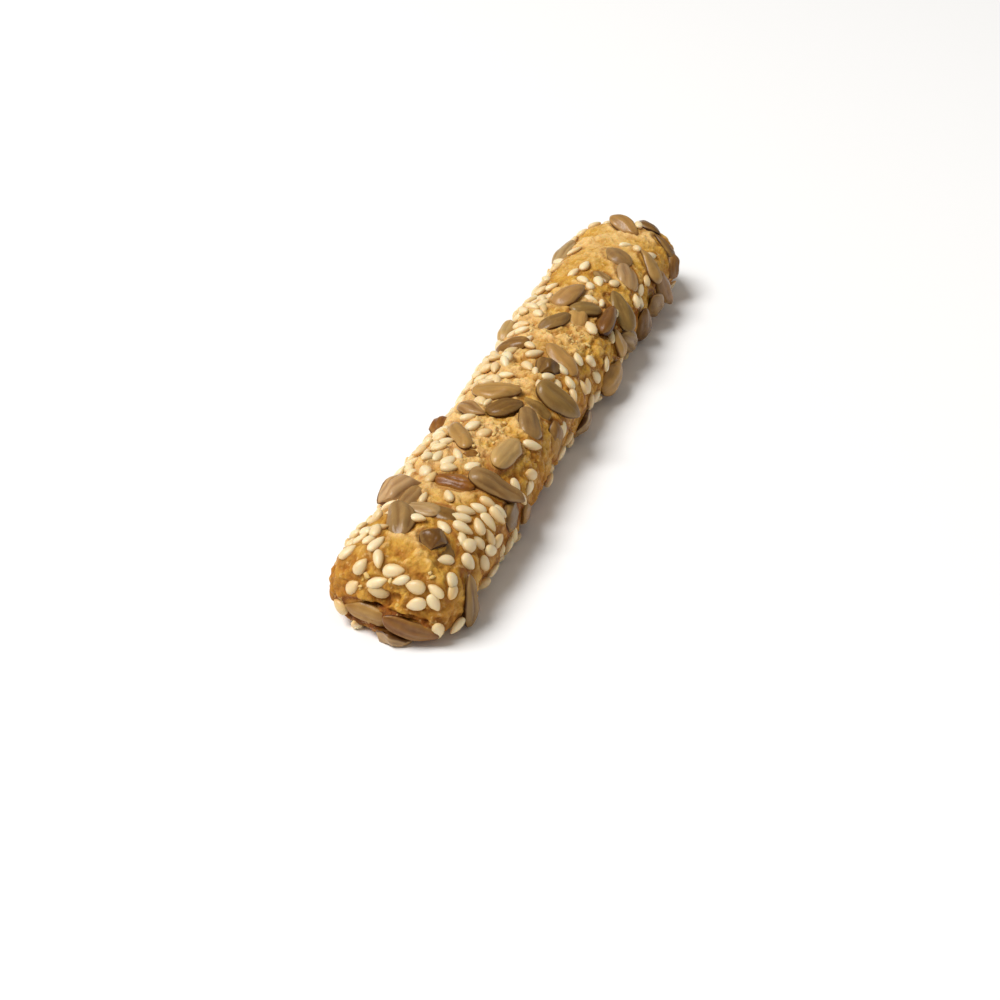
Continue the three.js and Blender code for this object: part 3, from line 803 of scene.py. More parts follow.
def crust_frames(station, clock):
    """The crust's frame at each spot: the point and the unit directions of +station, +clock and
    outwards, from differences of the crust over a short probe."""
    s, c = PROBE["station"], PROBE["clock"]
    point = crust(station, clock)
    along = unit(crust(station + s, clock) - crust(station - s, clock))
    turn = crust(station, clock + c) - crust(station, clock - c)
    out = unit(np.cross(turn, along))
    core = np.zeros_like(point)
    core[..., 0] = np.clip(point[..., 0], CORE_INSET - HALF, HALF - CORE_INSET)
    core[..., 2] = CREST_HEIGHT / 2
    out = np.where(dots(point - core, out) < 0, -out, out)
    turn = unit(turn - along * dots(turn, along))
    return point, along, turn, out


# ---------------------------------------------------------------- where the seeds lie


def with_frames(seeds):
    """Adds each seed's point, long axis, side direction and outward direction to the table."""
    point, along, turn, out = crust_frames(seeds["station"], seeds["clock"])
    angle = np.radians(seeds["heading"])[:, None]
    axis = along * np.cos(angle) + turn * np.sin(angle)
    return {**seeds, "point": point, "axis": axis, "side": np.cross(out, axis), "out": out}


def ruled_spots(rule, columns):
    """Candidate spots of a rule: their stations, clocks, headings and points, and the spare draws
    that go with each."""
    rows = draws(rule["start"], RULE_SPOTS, columns)
    station = mix(*rule["stations"], rows[:, 0])
    clock = mix(*rule["clocks"], rows[:, 1])
    heading = rule["swing"] * (rows[:, 2] - 0.5)
    return station, clock, heading, crust(station, clock), rows[:, 3:]


def kernel_table(count):
    """The sunflower kernels: those placed one by one, then the given count by rule, each at least
    the rule's gap from all before it. A ruled one at the bare corner is dropped."""
    rows = list(PLACED_KERNELS)
    points = list(crust([row[0] for row in rows], [row[1] for row in rows]))
    station, clock, heading, spots, spare = ruled_spots(KERNEL_RULE, 6)
    full = len(rows) + count
    for i, spot in enumerate(spots):
        if len(rows) == full:
            break
        if np.min(np.linalg.norm(np.array(points) - spot, axis=1)) <= KERNEL_RULE["gap"]:
            continue
        sizes = [mix(*limits, spare[i, j]) for j, limits in enumerate(KERNEL_SIZE.values())]
        tone = RULE_TONES[len(rows) % len(RULE_TONES)]
        coat = RULE_COATS[len(rows) % len(RULE_COATS)]
        rows.append((station[i], clock[i], heading[i], *sizes, 0, 0, tone, coat, 1))
        points.append(spot)
    placed = len(PLACED_KERNELS)
    rows = rows[:placed] + [
        row
        for row in rows[placed:]
        if row[0] > BARE_CORNER["station"] or row[1] > BARE_CORNER["clock"]
    ]
    columns = (np.array(column) for column in zip(*rows))
    return with_frames(dict(zip(KERNEL_COLUMNS, columns)))


def sesame_chance(points):
    """How likely a spot takes a sesame: a base chance plus each patch's bell."""
    return add_patches(np.full(len(points), SESAME_CHANCE), points, SESAME_PATCHES)


def outside_seeds(points, seeds, gap):
    """True where a spot lies outside an oval round every seed, with a gap to spare."""
    clear = np.ones(len(points), bool)
    for i in range(len(seeds["station"])):
        offset = points - seeds["point"][i]
        lengthwise = offset @ seeds["axis"][i]
        crosswise = np.sqrt(np.maximum(0, (offset**2).sum(1) - lengthwise**2))
        long_half = seeds["length"][i] / 2 + gap
        wide_half = seeds["width"][i] / 2 + gap
        clear &= np.hypot(lengthwise / long_half, crosswise / wide_half) > 1
    return clear


def placed_sesame():
    """The sesame placed one by one as a table: each lies midway between its two ends, heads from
    the blunt one to the pointed one, and keeps its length within what sesame has."""
    tip_station, tip_clock, blunt_station, blunt_clock, width = np.array(PLACED_SESAME, float).T
    run = crust(tip_station, tip_clock) - crust(blunt_station, blunt_clock)
    station, clock = (tip_station + blunt_station) / 2, (tip_clock + blunt_clock) / 2
    _, along, turn, _ = crust_frames(station, clock)
    heading = np.degrees(np.arctan2(dots(run, turn), dots(run, along)))[:, 0]
    length = np.clip(np.linalg.norm(run, axis=1), *PLACED_LENGTH)
    return {
        "station": station, "clock": clock, "heading": heading, "length": length, "width": width
    }


def chosen_sesame(spots, able, gap, most, points, kernels):
    """Up to a number of sesame at the candidate spots that are able, clear of the kernels and off
    the bare corner, each a gap from all before it. Adds their points to the list."""
    station, clock, heading, places, _ = spots
    able = able & outside_seeds(places, kernels, SESAME["width"] * KERNEL_CLEARANCE)
    able &= (
        (station > BARE_CORNER["station"])
        | (clock < BARE_CORNER["from_clock"])
        | (clock > BARE_CORNER["clock"])
    )
    chosen = []
    for i in np.flatnonzero(able):
        if len(chosen) == most:
            break
        if np.min(np.linalg.norm(np.array(points) - places[i], axis=1)) > gap:
            chosen.append(i)
            points.append(places[i])
    return {"station": station[chosen], "clock": clock[chosen], "heading": heading[chosen]}


def sesame_table(count, kernels):
    """The sesame: those placed one by one, the crowded left edge, and up to the given count on the
    sides out of sight."""
    placed = placed_sesame()
    points = list(crust(placed["station"], placed["clock"]))

    spots = ruled_spots(EDGE_RULE, 4)
    crowded = spots[1] > EDGE_CLOCK
    for where, middle, reach in CROWDED:
        crowded |= np.linalg.norm(spots[3] - crust(where, middle), axis=1) < reach
    edge = chosen_sesame(spots, crowded, EDGE_RULE["gap"], EDGE_SESAME, points, kernels)

    spots = ruled_spots(SESAME_RULE, 4)
    low, high = HIDDEN_CLOCKS
    unseen = (spots[1] < low) | (spots[1] > high)
    unseen &= spots[4][:, 0] < sesame_chance(spots[3])
    hidden = chosen_sesame(spots, unseen, SESAME_RULE["gap"], count, points, kernels)

    table = {
        name: np.concatenate([part[name] for part in (placed, edge, hidden)])
        for name in ("station", "clock", "heading")
    }
    table["placed"] = np.arange(len(table["station"])) < len(placed["station"])
    for name in ("length", "width"):
        ruled = np.full(np.count_nonzero(~table["placed"]), float(SESAME[name]))
        table[name] = np.concatenate([placed[name], ruled])
    return with_frames(table)


# ---------------------------------------------------------------- meshes


def closed_faces(rings, sides):
    """Faces of a closed skin over rings with one point at each end: triangles at the two poles
    and quads between the rings. Rings run anticlockwise seen from the last pole."""
    side = np.arange(sides)
    after = (side + 1) % sides
    last = rings * sides + 1
    first_cap = np.stack([np.zeros_like(side), 1 + after, 1 + side], axis=1)
    end = 1 + (rings - 1) * sides
    last_cap = np.stack([end + side, end + after, np.full_like(side, last)], axis=1)
    ring = 1 + np.arange(rings - 1)[:, None] * sides
    above = ring + sides
    quads = np.stack([ring + side, ring + after, above + after, above + side], axis=-1)
    return [first_cap, quads.reshape(-1, 4), last_cap]


def repeated_faces(faces, copies, stride):
    """The same faces for many copies of one skin, each copy's numbers raised by a stride."""
    shift = (np.arange(copies) * stride)[:, None, None]
    return [(group[None] + shift).reshape(-1, group.shape[1]) for group in faces]


def make_piece(name, points_mm, faces, material, attributes):
    """A mesh object at the origin from points in millimetres. Attributes map a name to a value
    for each point: a number, or three for a colour."""
    mesh = bpy.data.meshes.new(name)
    listed = [face for group in faces for face in group.tolist()]
    mesh.from_pydata((points_mm * MM).tolist(), [], listed)
    mesh.polygons.foreach_set("use_smooth", np.ones(len(listed), bool))
    for key, values in attributes.items():
        values = np.asarray(values, np.float32)
        kind, field = ("FLOAT", "value") if values.ndim == 1 else ("FLOAT_VECTOR", "vector")
        layer = mesh.attributes.new(key, kind, "POINT")
        layer.data.foreach_set(field, values.ravel())
    mesh.materials.append(material)
    mesh.update()
    mesh.validate()
    piece = bpy.data.objects.new(name, mesh)
    bpy.context.scene.collection.objects.link(piece)
    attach(piece, BODY)
    return piece


# ---------------------------------------------------------------- the dough


def crumbliness(points):
    """How crumbly the crust is at each point: a low base plus each crumbly patch's bell."""
    rough = np.full(points.shape[:-1], PLAIN_ROUGHNESS)
    return np.clip(add_patches(rough, points, CRUMBLY), 0, 1)


def seed_hold(points, seeds, columns):
    """How the dough holds its seeds, for a grid of crust points. Within each seed's own band of
    columns, an oval distance runs from 0 at its middle to 1 at its rim, and the gap is how far
    a point lies outside the rim. A lip of dough rises just outside it, a ring of painted shade runs
    along it, a coated kernel lifts a skin of dough over itself, and the dough lies level beneath."""
    lip, ring, skin, hold, level = np.zeros((5, *points.shape[:-1]))
    ragged = ease(0.5 + soft_noise(points, "ragged lips"))
    lip_middle, lip_reach = HOLD["lip"]
    ring_middle, ring_reach = HOLD["ring"]
    press_rim, press_fade = HOLD["press"]
    for i in range(len(seeds["station"])):
        middle, reach = seeds["station"][i], seeds["length"][i] / 2 + HOLD["band"]
        low, high = np.searchsorted(columns, [middle - reach, middle + reach])
        offset = points[low:high] - seeds["point"][i]
        oval = np.hypot(
            offset @ seeds["axis"][i] / (seeds["length"][i] / 2),
            offset @ seeds["side"][i] / (seeds["width"][i] / 2),
        )
        near = np.abs(offset @ seeds["out"][i]) < HOLD["depth"]
        gap = (oval - 1) * seeds["width"][i] / 2
        rise = seeds["lip"][i] * bump(gap - lip_middle, lip_reach) * near * ragged[low:high]
        lip[low:high] = np.maximum(lip[low:high], rise)
        shade = seeds["shade"][i] * bump(gap - ring_middle, ring_reach) * near
        ring[low:high] = np.maximum(ring[low:high], shade)
        cover = seeds["skin"][i] * np.sqrt(np.clip(HOLD["skin"] - oval**2, 0, 1)) * near
        skin[low:high] = np.maximum(skin[low:high], cover)
        press = ease((press_rim - oval) / press_fade) * near
        level[low:high] = np.where(press > hold[low:high], seeds["lift"][i], level[low:high])
        hold[low:high] = np.maximum(hold[low:high], press)
    return lip, ring, skin, hold, level


def end_cuts(station, points):
    """The crevices of the torn end: for each stretch, a bell of the distance to it across the
    end, fading out along the stick. Gives the depth in millimetres and a mask for their painted
    shade."""
    depth, mask = np.zeros((2, *station.shape))
    fade = ease((CUT_FADE["station"] - station) / CUT_FADE["fade"])
    fade = fade * ease((CUT_FADE["x"] - points[..., 0]) / CUT_FADE["fade"])
    for y0, z0, y1, z1, deep, reach in END_CUTS:
        start, way = np.array([y0, z0]), np.array([y1 - y0, z1 - z0])
        offset = points[..., 1:] - start
        share = np.clip((offset @ way) / (way @ way), 0, 1)
        distance = np.linalg.norm(offset - share[..., None] * way, axis=-1)
        cut = bump(distance, reach) * fade
        depth = np.maximum(depth, deep * cut)
        mask = np.maximum(mask, cut)
    return depth, mask


def torn_share(station, points):
    """How far each point belongs to the torn end: all of it low at the tip, none above."""
    near = ease((TORN["station"] - station) / TORN["station_fade"])
    return near * ease((TORN["height"] - points[..., 2]) / TORN["height_fade"])


def dough_relief(points, rough, torn):
    """Relief of the baked dough along its outward direction, in millimetres: kneaded swells,
    soft clumps that meet in creases, crumbs and flaky ledges where the crust is crumbly, fine
    grain, and pits. The torn end adds crags, and some spots swell."""
    share = {kind: mix(*heights, rough) for kind, heights in RELIEF.items()}
    swells = soft_noise(points, "kneading") + soft_noise(points, "swell")
    wandering = points + noise_push(points, *PUSHES["clumps"])
    clumps = dome_noise(wandering, *DOMES["clumps"]) - DOME_MIDDLE
    crumbs = dome_noise(wandering, *DOMES["crumbs"]) - DOME_MIDDLE
    flakes = ledges(soft_noise(wandering, "flakes"), LEDGE["steps"])
    fine = soft_noise(points, "grit") + soft_noise(points, "fine grit")
    creasing = points + noise_push(points, *PUSHES["creases"])
    creased = CREASE_WIDTH - np.abs(soft_noise(creasing, "creases"))
    pits = ease((soft_noise(points, "pits") - PITS["from"]) / PITS["fade"])
    crags = np.abs(soft_noise(points, "crags")) - CRAG_WIDTH + soft_noise(points, "small crags")
    relief = swells + fine + share["clumps"] * clumps + share["crumbs"] * crumbs
    relief = relief + share["creases"] * creased
    relief = relief + share["flakes"] * flakes - PITS["depth"] * pits * share["pits"]
    relief = relief + torn * (TORN_RELIEF["crags"] * crags + TORN_RELIEF["flakes"] * flakes)
    relief = add_patches(relief, points, SWOLLEN)
    # The hollows between clumps and crumbs, and the pits, are kept for the crevices' painted shade
    grain = share["clump shade"] * clumps + share["crumb shade"] * crumbs
    return relief, grain, pits * share["pit shade"]


def settle(seeds):
    """Lifts each seed by the mean relief of the dough under it, at its middle and at four spots
    between its middle and its rim."""
    lengthwise = seeds["axis"] * (DOUGH_FORM["probe"] * seeds["length"])[:, None]
    crosswise = seeds["side"] * (DOUGH_FORM["probe"] * seeds["width"])[:, None]
    steps = np.stack([0 * lengthwise, lengthwise, -lengthwise, crosswise, -crosswise], axis=1)
    spots = seeds["point"][:, None] + steps
    torn = torn_share(seeds["station"][:, None], spots)
    seeds["lift"] = dough_relief(spots, crumbliness(spots), torn)[0].mean(axis=1)
    seeds["point"] = seeds["point"] + seeds["out"] * seeds["lift"][:, None]


def browning(station, points, relief):
    """How far the crust is baked, from 0 for pale crumb to 1 for dark crust: more at both ends,
    more low on the sides, partly as painted shade, more on the right flank as painted shade, in
    soft patches, and less on what stands up, which on the dough is painted light and shade
    following its relief."""
    reach = BAKE_REACH
    # The low sides are browner partly from baking and partly as painted shade
    low = ease((reach["low"] - points[..., 2]) / reach["low"])
    tip = ease((reach["end"] - station) / reach["end"])
    tail = ease((station - FULL_RUN + reach["end"]) / reach["end"])
    patchy = soft_noise(points, "browning") + soft_noise(points, "fine browning")
    # The right flank is browner as painted shade
    right = ease((-points[..., 1] - reach["right_from"]) / reach["right"])
    bake = BAKE["plain"] + BAKE["tip"] * tip + BAKE["tail"] * tail
    bake = bake + BAKE["low"] * low + BAKE["right"] * right + BAKE["patchy"] * patchy
    # What stands up is paler and what lies low darker: painted light and shade on the dough, the
    # crumbs' own paleness for the crumbs
    return add_patches(bake, points, BAKED_PATCHES) + BAKE["standing"] * relief


def build_dough(settings, kernels, sesame):
    """The dough: a grid of stations and clocks on the crust, pushed out by its relief and by
    what its seeds do to it, with the browning, partly painted light and shade, and the painted
    shade of its crevices kept as attributes."""
    form, stations, sides = DOUGH_FORM, settings.stations, settings.sides
    station = np.linspace(0, FULL_RUN, stations + 2)[1:-1]
    turn = np.linspace(0, 2 * np.pi, sides, endpoint=False)
    clock = -np.degrees(turn - form["gathered"] * np.sin(turn))
    grid_station, grid_clock = np.meshgrid(station, clock, indexing="ij")
    points, _, _, out = crust_frames(grid_station, grid_clock)
    torn = torn_share(grid_station, points)
    rough = crumbliness(points)
    kernel_lip, kernel_shade_ring, skin, hold, level = seed_hold(points, kernels, station)
    sesame_lip, sesame_shade_ring, _, sesame_hold, sesame_level = seed_hold(points, sesame, station)
    relief, grain, pits = dough_relief(points, rough, torn)
    cut, crevice_shade = end_cuts(grid_station, points)
    relief = mix(mix(relief, sesame_level, sesame_hold), level, hold) - cut
    ends = np.minimum(grid_station, FULL_RUN - grid_station)
    relief = relief * ease(ends / form["pole_fade"])
    shaped = points + out * (relief + skin + kernel_lip + sesame_lip)[..., None]
    shaped = off_floor(shaped, 0)
    bake = browning(grid_station, points, relief)
    # The lips round the kernels are made paler, a painted highlight
    bake = bake + BAKE["torn"] * torn + BAKE["lip"] * kernel_lip
    # A ring of painted shade round each seed, weaker on pale crust and hidden under a kernel's skin
    ring = np.maximum(kernel_shade_ring, sesame_shade_ring)
    ring = ring * mix(form["pale_ring"], 1, ease(bake / form["pale_bake"]))
    # Painted shade in the crevices: a little all over, more in hollows, pits and the torn end's
    # cuts
    deep = CREVICE_SHADE["plain"] + CREVICE_SHADE["grain"] * grain + CREVICE_SHADE["pits"] * pits
    attributes = {
        "bake": bake,
        "crevice_shade": np.clip(deep + CREVICE_SHADE["cut"] * crevice_shade, 0, 1),
        "ring": ring * (1 - ease(skin / form["hiding_skin"])),
        "rough": rough,
        "stain": ease(skin / form["staining_skin"]),
    }

    def with_poles(values):
        """The grid's values in a row, between the means of its first and its last ring."""
        flat = values.reshape(-1, *values.shape[2:])
        first, last = values[0].mean(0, keepdims=True), values[-1].mean(0, keepdims=True)
        return np.concatenate([first, flat, last])

    piece = make_piece(
        "breadstick_dough",
        with_poles(shaped),
        closed_faces(stations, sides),
        dough_material(settings),
        {key: with_poles(values) for key, values in attributes.items()},
    )
    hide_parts(NODE)
    return piece


# ---------------------------------------------------------------- seeds and crumbs


def seed_skin(rings, sides):
    """A unit skin's lengthwise place and angle for every point: poles first and last, and
    rings spaced by the cosine between them."""
    u = -np.cos(np.pi * np.arange(1, rings + 1) / (rings + 1))
    angle = 2 * np.pi * (np.arange(sides) + 0.5) / sides
    lengthwise = np.concatenate([[-1.0], np.repeat(u, sides), [1.0]])
    around = np.concatenate([[0.0], np.tile(angle, rings), [0.0]])
    return lengthwise, around


def placed_seeds(seeds, u, v, w, thickness, height, tilt, roll):
    """Seeds on the crust: u, v and w are shares of each seed's half length, half width and half
    thickness, tipped by tilt about its side and by roll about its axis."""
    axis, side, out = seeds["axis"], seeds["side"], seeds["out"]
    tilt, roll = tilt[:, None], roll[:, None]
    axis, out = axis * np.cos(tilt) + out * np.sin(tilt), out * np.cos(tilt) - axis * np.sin(tilt)
    side, out = side * np.cos(roll) + out * np.sin(roll), out * np.cos(roll) - side * np.sin(roll)
    middle = seeds["point"] + seeds["out"] * (height - thickness / 2)[:, None]
    parts = (
        (u * seeds["length"][:, None] / 2, axis),
        (v * seeds["width"][:, None] / 2, side),
        (w * thickness[:, None] / 2, out),
    )
    points = middle[:, None] + sum(share[..., None] * way[:, None] for share, way in parts)
    return off_floor(points)


def chipped(places, chip):
    """Places in a kernel's own frame, with what lies beyond each plane pressed flat onto it, for
    kernels broken into chips."""
    for plane, near in CHIP_PLANES:
        normal = np.array(plane) / np.linalg.norm(plane)
        reach = near * np.abs(places @ normal).max(axis=1, keepdims=True)
        over = np.maximum(0, places @ normal - reach) * chip
        places = places - over[..., None] * normal
    return places


def build_kernels(settings, kernels):
    """The sunflower kernels: each is a drop, blunt at one end and drawn out to a point at the
    other, with a lens of a section that has crisp edges, lengthwise ridges, an outline that
    wanders and a bend of its own."""
    rings, sides = settings.kernel_rings, settings.kernel_sides
    count = len(kernels["station"])
    form = KERNEL_FORM
    rng = np.random.default_rng(DRAW_STARTS["kernels"])

    def drawn(kind, *columns):
        """A draw of one kind for each kernel, or several."""
        return rng.uniform(*KERNEL_RANGES[kind], (count, *columns))

    lengthwise, around = seed_skin(rings, sides)
    stride = len(lengthwise)
    u = np.broadcast_to(lengthwise, (count, stride))
    widest = drawn("widest", 1)
    before = np.clip((widest - u) / (1 + widest), 0, 1)
    after = np.clip((u - widest) / (1 - widest), 0, 1)
    pointed = drawn("pointed", 1)
    girth = np.sqrt(np.maximum(0, 1 - before ** form["blunt"]))
    girth = girth * np.maximum(0, 1 - after**pointed) ** form["point"]
    depth = np.sqrt(np.maximum(0, 1 - before ** form["deep_blunt"]))
    depth = depth * np.maximum(0, 1 - after ** form["deep_blunt"]) ** form["deep_point"]
    flatness, steepness = drawn("flatness", 1), drawn("steepness", 1)
    v = girth * np.cos(around)
    lens = (1 - np.minimum(1, np.abs(np.cos(around))) ** flatness) ** steepness
    w = depth * np.sign(np.sin(around)) * lens
    ridge = kernels["ridge"][:, None]
    waves, phase = drawn("waves", 1), drawn("phase", 1)
    furrow = np.cos(waves * v * np.pi + phase + form["slant"] * u) * (1 - np.abs(u) ** 3)
    w = w * (1 + form["furrow"] * ridge * furrow)
    v = v + drawn("curl", 1) * u**2
    w = w - drawn("arch", 1) * u**2
    thickness = np.maximum(form["thickness"] * kernels["width"], kernels["height"] + SUNK)
    halves = np.stack([kernels["length"], kernels["width"], thickness], axis=-1) / 2
    places = np.stack([u, v, w], axis=-1) * halves[:, None]
    chip = (kernels["left"] < CHIPPED_BELOW).astype(float)[:, None]
    u, v, w = np.moveaxis(chipped(places, chip) / halves[:, None], -1, 0)
    tilt = np.radians(kernels["tilt"]) + drawn("tilt")
    roll = np.radians(kernels["roll"]) + drawn("roll")
    points = placed_seeds(kernels, u, v, w, thickness, kernels["height"], tilt, roll)
    wander, dents = (noise_push(points, *form[kind]) for kind in ("wander", "dents"))
    points = off_floor(points + wander + dents)
    tone = np.array([KERNEL_TONES[name][0] for name in kernels["tone"]])
    tone = tone * drawn("brightness", 1) * drawn("hue", 3)
    ids = np.arange(count)[:, None]
    stretch, apart = form["streak_stretch"], form["streak_apart"]
    grain = [
        u * kernels["length"][:, None] * stretch, v * kernels["width"][:, None], ids * apart + 0 * u
    ]
    sine = np.broadcast_to(np.where(np.abs(lengthwise) < 1, np.sin(around), 0), (count, stride))
    flat_face = (1 - np.abs(u) ** 2) * (1 - np.abs(v))
    tips = ((1, form["tip"]), (-1, form["end"]))
    pointed_tip, blunt_tip = (ease((way * u - start) / fade) for way, (start, fade) in tips)
    edge_middle, edge_reach = form["edge"]
    under_from, under_fade = form["under"]
    return make_piece(
        "sunflower_kernels",
        points.reshape(-1, 3),
        repeated_faces(closed_faces(rings, sides), count, stride),
        kernel_material(settings),
        {
            "tone": np.repeat(tone, stride, axis=0),
            "grain_place": np.stack(grain, axis=-1).reshape(-1, 3),
            "tip": (pointed_tip + form["blunt_tip"] * blunt_tip).ravel(),
            "edge": (bump(sine - edge_middle, edge_reach) * (1 - 0.5 * flat_face)).ravel(),
            # Painted shade round the lower rim and underneath
            "under": ease((under_from - sine) / under_fade).ravel(),
            # Painted shade in the furrows
            "furrow": np.clip(-furrow * ridge * form["furrow_mask"], 0, 1).ravel(),
            "coat": np.repeat(kernels["coat"].astype(float), stride),
        },
    )


def build_sesame(settings, sesame):
    """The sesame: plump flat drops, each a little different in size and tone, sunk to a
    different depth and tipped a little out of the crust's plane."""
    rings, sides = settings.sesame_rings, settings.sesame_sides
    form, count = SESAME_FORM, len(sesame["station"])
    lengthwise, around = seed_skin(rings, sides)
    stride = len(lengthwise)
    u = np.broadcast_to(lengthwise, (count, stride))
    round_share = np.sqrt(np.maximum(0, 1 - u**2))
    point = ease((u - form["point_from"]) / (1 - form["point_from"]))
    girth = round_share * (1 - form["taper"] * u) * (1 - form["point"] * point)
    v = girth * np.cos(around)
    w = round_share * (1 - form["thinning"] * u) * np.sin(around)
    points = placed_seeds(
        sesame, u, v, w, sesame["thickness"], sesame["height"], sesame["tilt"], sesame["roll"]
    )
    points = off_floor(points + noise_push(points, *form["dents"]))
    tip = ease((u - form["tip_from"]) / (1 - form["tip_from"]))
    rim = np.broadcast_to(np.where(np.abs(lengthwise) < 1, np.abs(np.sin(around)), 0), u.shape)
    return make_piece(
        "sesame_seeds",
        points.reshape(-1, 3),
        repeated_faces(closed_faces(rings, sides), count, stride),
        sesame_material(),
        {
            "tone": np.repeat(sesame["tone"], stride, axis=0),
            "tip": tip.ravel(),
            # Painted shade round the seed's rim
            "rim": (1 - rim).ravel(),
        },
    )


def dress_sesame(settings, sesame):
    """Adds each sesame's own size, depth, tip, roll and tone to the table. Those placed one by one
    stand clear, and the rest vary more."""
    count = len(sesame["station"])
    rng = np.random.default_rng(DRAW_STARTS["sesame"])
    free = ~sesame["placed"]

    def drawn(kind, *columns):
        """A draw of one kind for each sesame, or several."""
        return rng.uniform(*SESAME_RANGES[kind], (count, *columns))

    def turned(spread):
        """An angle for each sesame, with its own spread for those placed one by one."""
        wide = np.where(free, spread["ruled"], spread["placed"])
        return rng.normal(0, spread["all"], count) * wide

    for kind in ("length", "width"):
        sesame[kind] = sesame[kind] * np.where(free, drawn(kind), PLACED_SCALE)
    sesame["thickness"] = SESAME_THICKNESS * SESAME["width"] * drawn("thickness")
    proud = rng.uniform(DEEPEST, np.where(free, PROUDEST["ruled"], PROUDEST["placed"]), count)
    sesame["height"] = SESAME_LIFT + SESAME["height"] + proud
    sesame["tilt"] = turned(TILT_SPREAD)
    sesame["roll"] = turned(ROLL_SPREAD)
    sesame["lip"] = drawn("lip")
    # How strong the ring of painted shade round each sesame is
    sesame["shade"] = np.full(count, SESAME_SHADE)
    sesame["skin"] = np.zeros(count)
    ivory, toasted = np.array(settings.sesame_colour), np.array(settings.sesame_toasted)
    share = rng.beta(*TOASTING, (count, 1))
    sesame["tone"] = mix(ivory, toasted, share) * drawn("brightness", 1)


def dress_kernels(kernels):
    """Adds how the dough holds each kernel, a lip round it and a skin over it if coated, and how
    deep its ridges run."""
    rng = np.random.default_rng(DRAW_STARTS["kernel hold"])
    count = len(kernels["station"])
    kernels["lip"] = rng.uniform(*KERNEL_RANGES["lip"], count)
    # The ring of painted shade round each kernel, at full strength
    kernels["shade"] = np.ones(count)
    coat = kernels["coat"].astype(float)
    skin = (kernels["height"] + SKIN["over"]) * np.minimum(1, coat + SKIN["spread"])
    kernels["skin"] = np.where(coat > SKIN["from_coat"], skin, 0)
    kernels["ridge"] = np.array([KERNEL_TONES[name][1] for name in kernels["tone"]])


def build_crumbs(settings, kernels, sesame):
    """The loose crumbs: angular scraps of dough half sunk in the crust, thickest where it is
    crumbly and clear of the seeds, each with its own size and turn."""
    form = CRUMB_FORM
    rng = np.random.default_rng(DRAW_STARTS["crumbs"])
    placed_station, placed_clock = np.array(PLACED_CRUMBS, float).T
    placed = len(PLACED_CRUMBS)
    spots = form["spots_for_each"] * settings.crumbs
    station = rng.uniform(form["off_ends"], FULL_RUN - form["off_ends"], spots)
    clock = rng.uniform(-180, 180, spots)
    station[:placed], clock[:placed] = placed_station, placed_clock
    frames = crust_frames(station, clock)
    point, out = frames[0], frames[3]
    rough = crumbliness(point)
    wanted = rng.uniform(0, 1, spots) < (rough - form["least_rough"]) ** 2
    wanted &= (point[:, 2] > form["above"]) & outside_seeds(point, kernels, form["off_kernels"])
    wanted &= outside_seeds(point, sesame, form["off_sesame"])
    wanted[:placed] = True
    chosen = np.flatnonzero(wanted)[: settings.crumbs]
    relief = dough_relief(point, rough, torn_share(station, point))[0]
    surface = point + out * relief[:, None]
    point, along, turn, out = (part[chosen] for part in (surface, *frames[1:]))
    count = len(chosen)
    lengthwise, around = seed_skin(form["rings"], form["sides"])
    stride = len(lengthwise)
    girth = np.sqrt(np.maximum(0, 1 - lengthwise**2))
    shape = np.stack([lengthwise, girth * np.cos(around), girth * np.sin(around)], axis=-1)
    size = mix(*form["sizes"], rng.beta(*form["size_draw"], (count, 1, 1)))
    size[:placed] = form["placed_size"]
    lumps = shape[None] * rng.uniform(*form["lumpiness"], (count, stride, 1))
    lumps = lumps * size * rng.uniform(*form["squash"], (count, 1, 3)) * np.array(form["shape"])
    heading = rng.uniform(0, 2 * np.pi, (count, 1))
    axis = along * np.cos(heading) + turn * np.sin(heading)
    middle = point + out * rng.uniform(0, form["proud"], (count, 1))
    ways = (axis, np.cross(out, axis), out)
    points = middle[:, None] + sum(
        lumps[..., k, None] * way[:, None] for k, way in enumerate(ways)
    )
    bake = browning(station[chosen], point, rng.uniform(*form["paleness"], count))
    blank = np.zeros(count * stride)
    return make_piece(
        "dough_crumbs",
        off_floor(points).reshape(-1, 3),
        repeated_faces(closed_faces(form["rings"], form["sides"]), count, stride),
        bpy.data.materials["Baked Dough"],
        {"bake": np.repeat(bake, stride), "crevice_shade": blank, "ring": blank, "rough": blank},
    )


# ---------------------------------------------------------------- materials


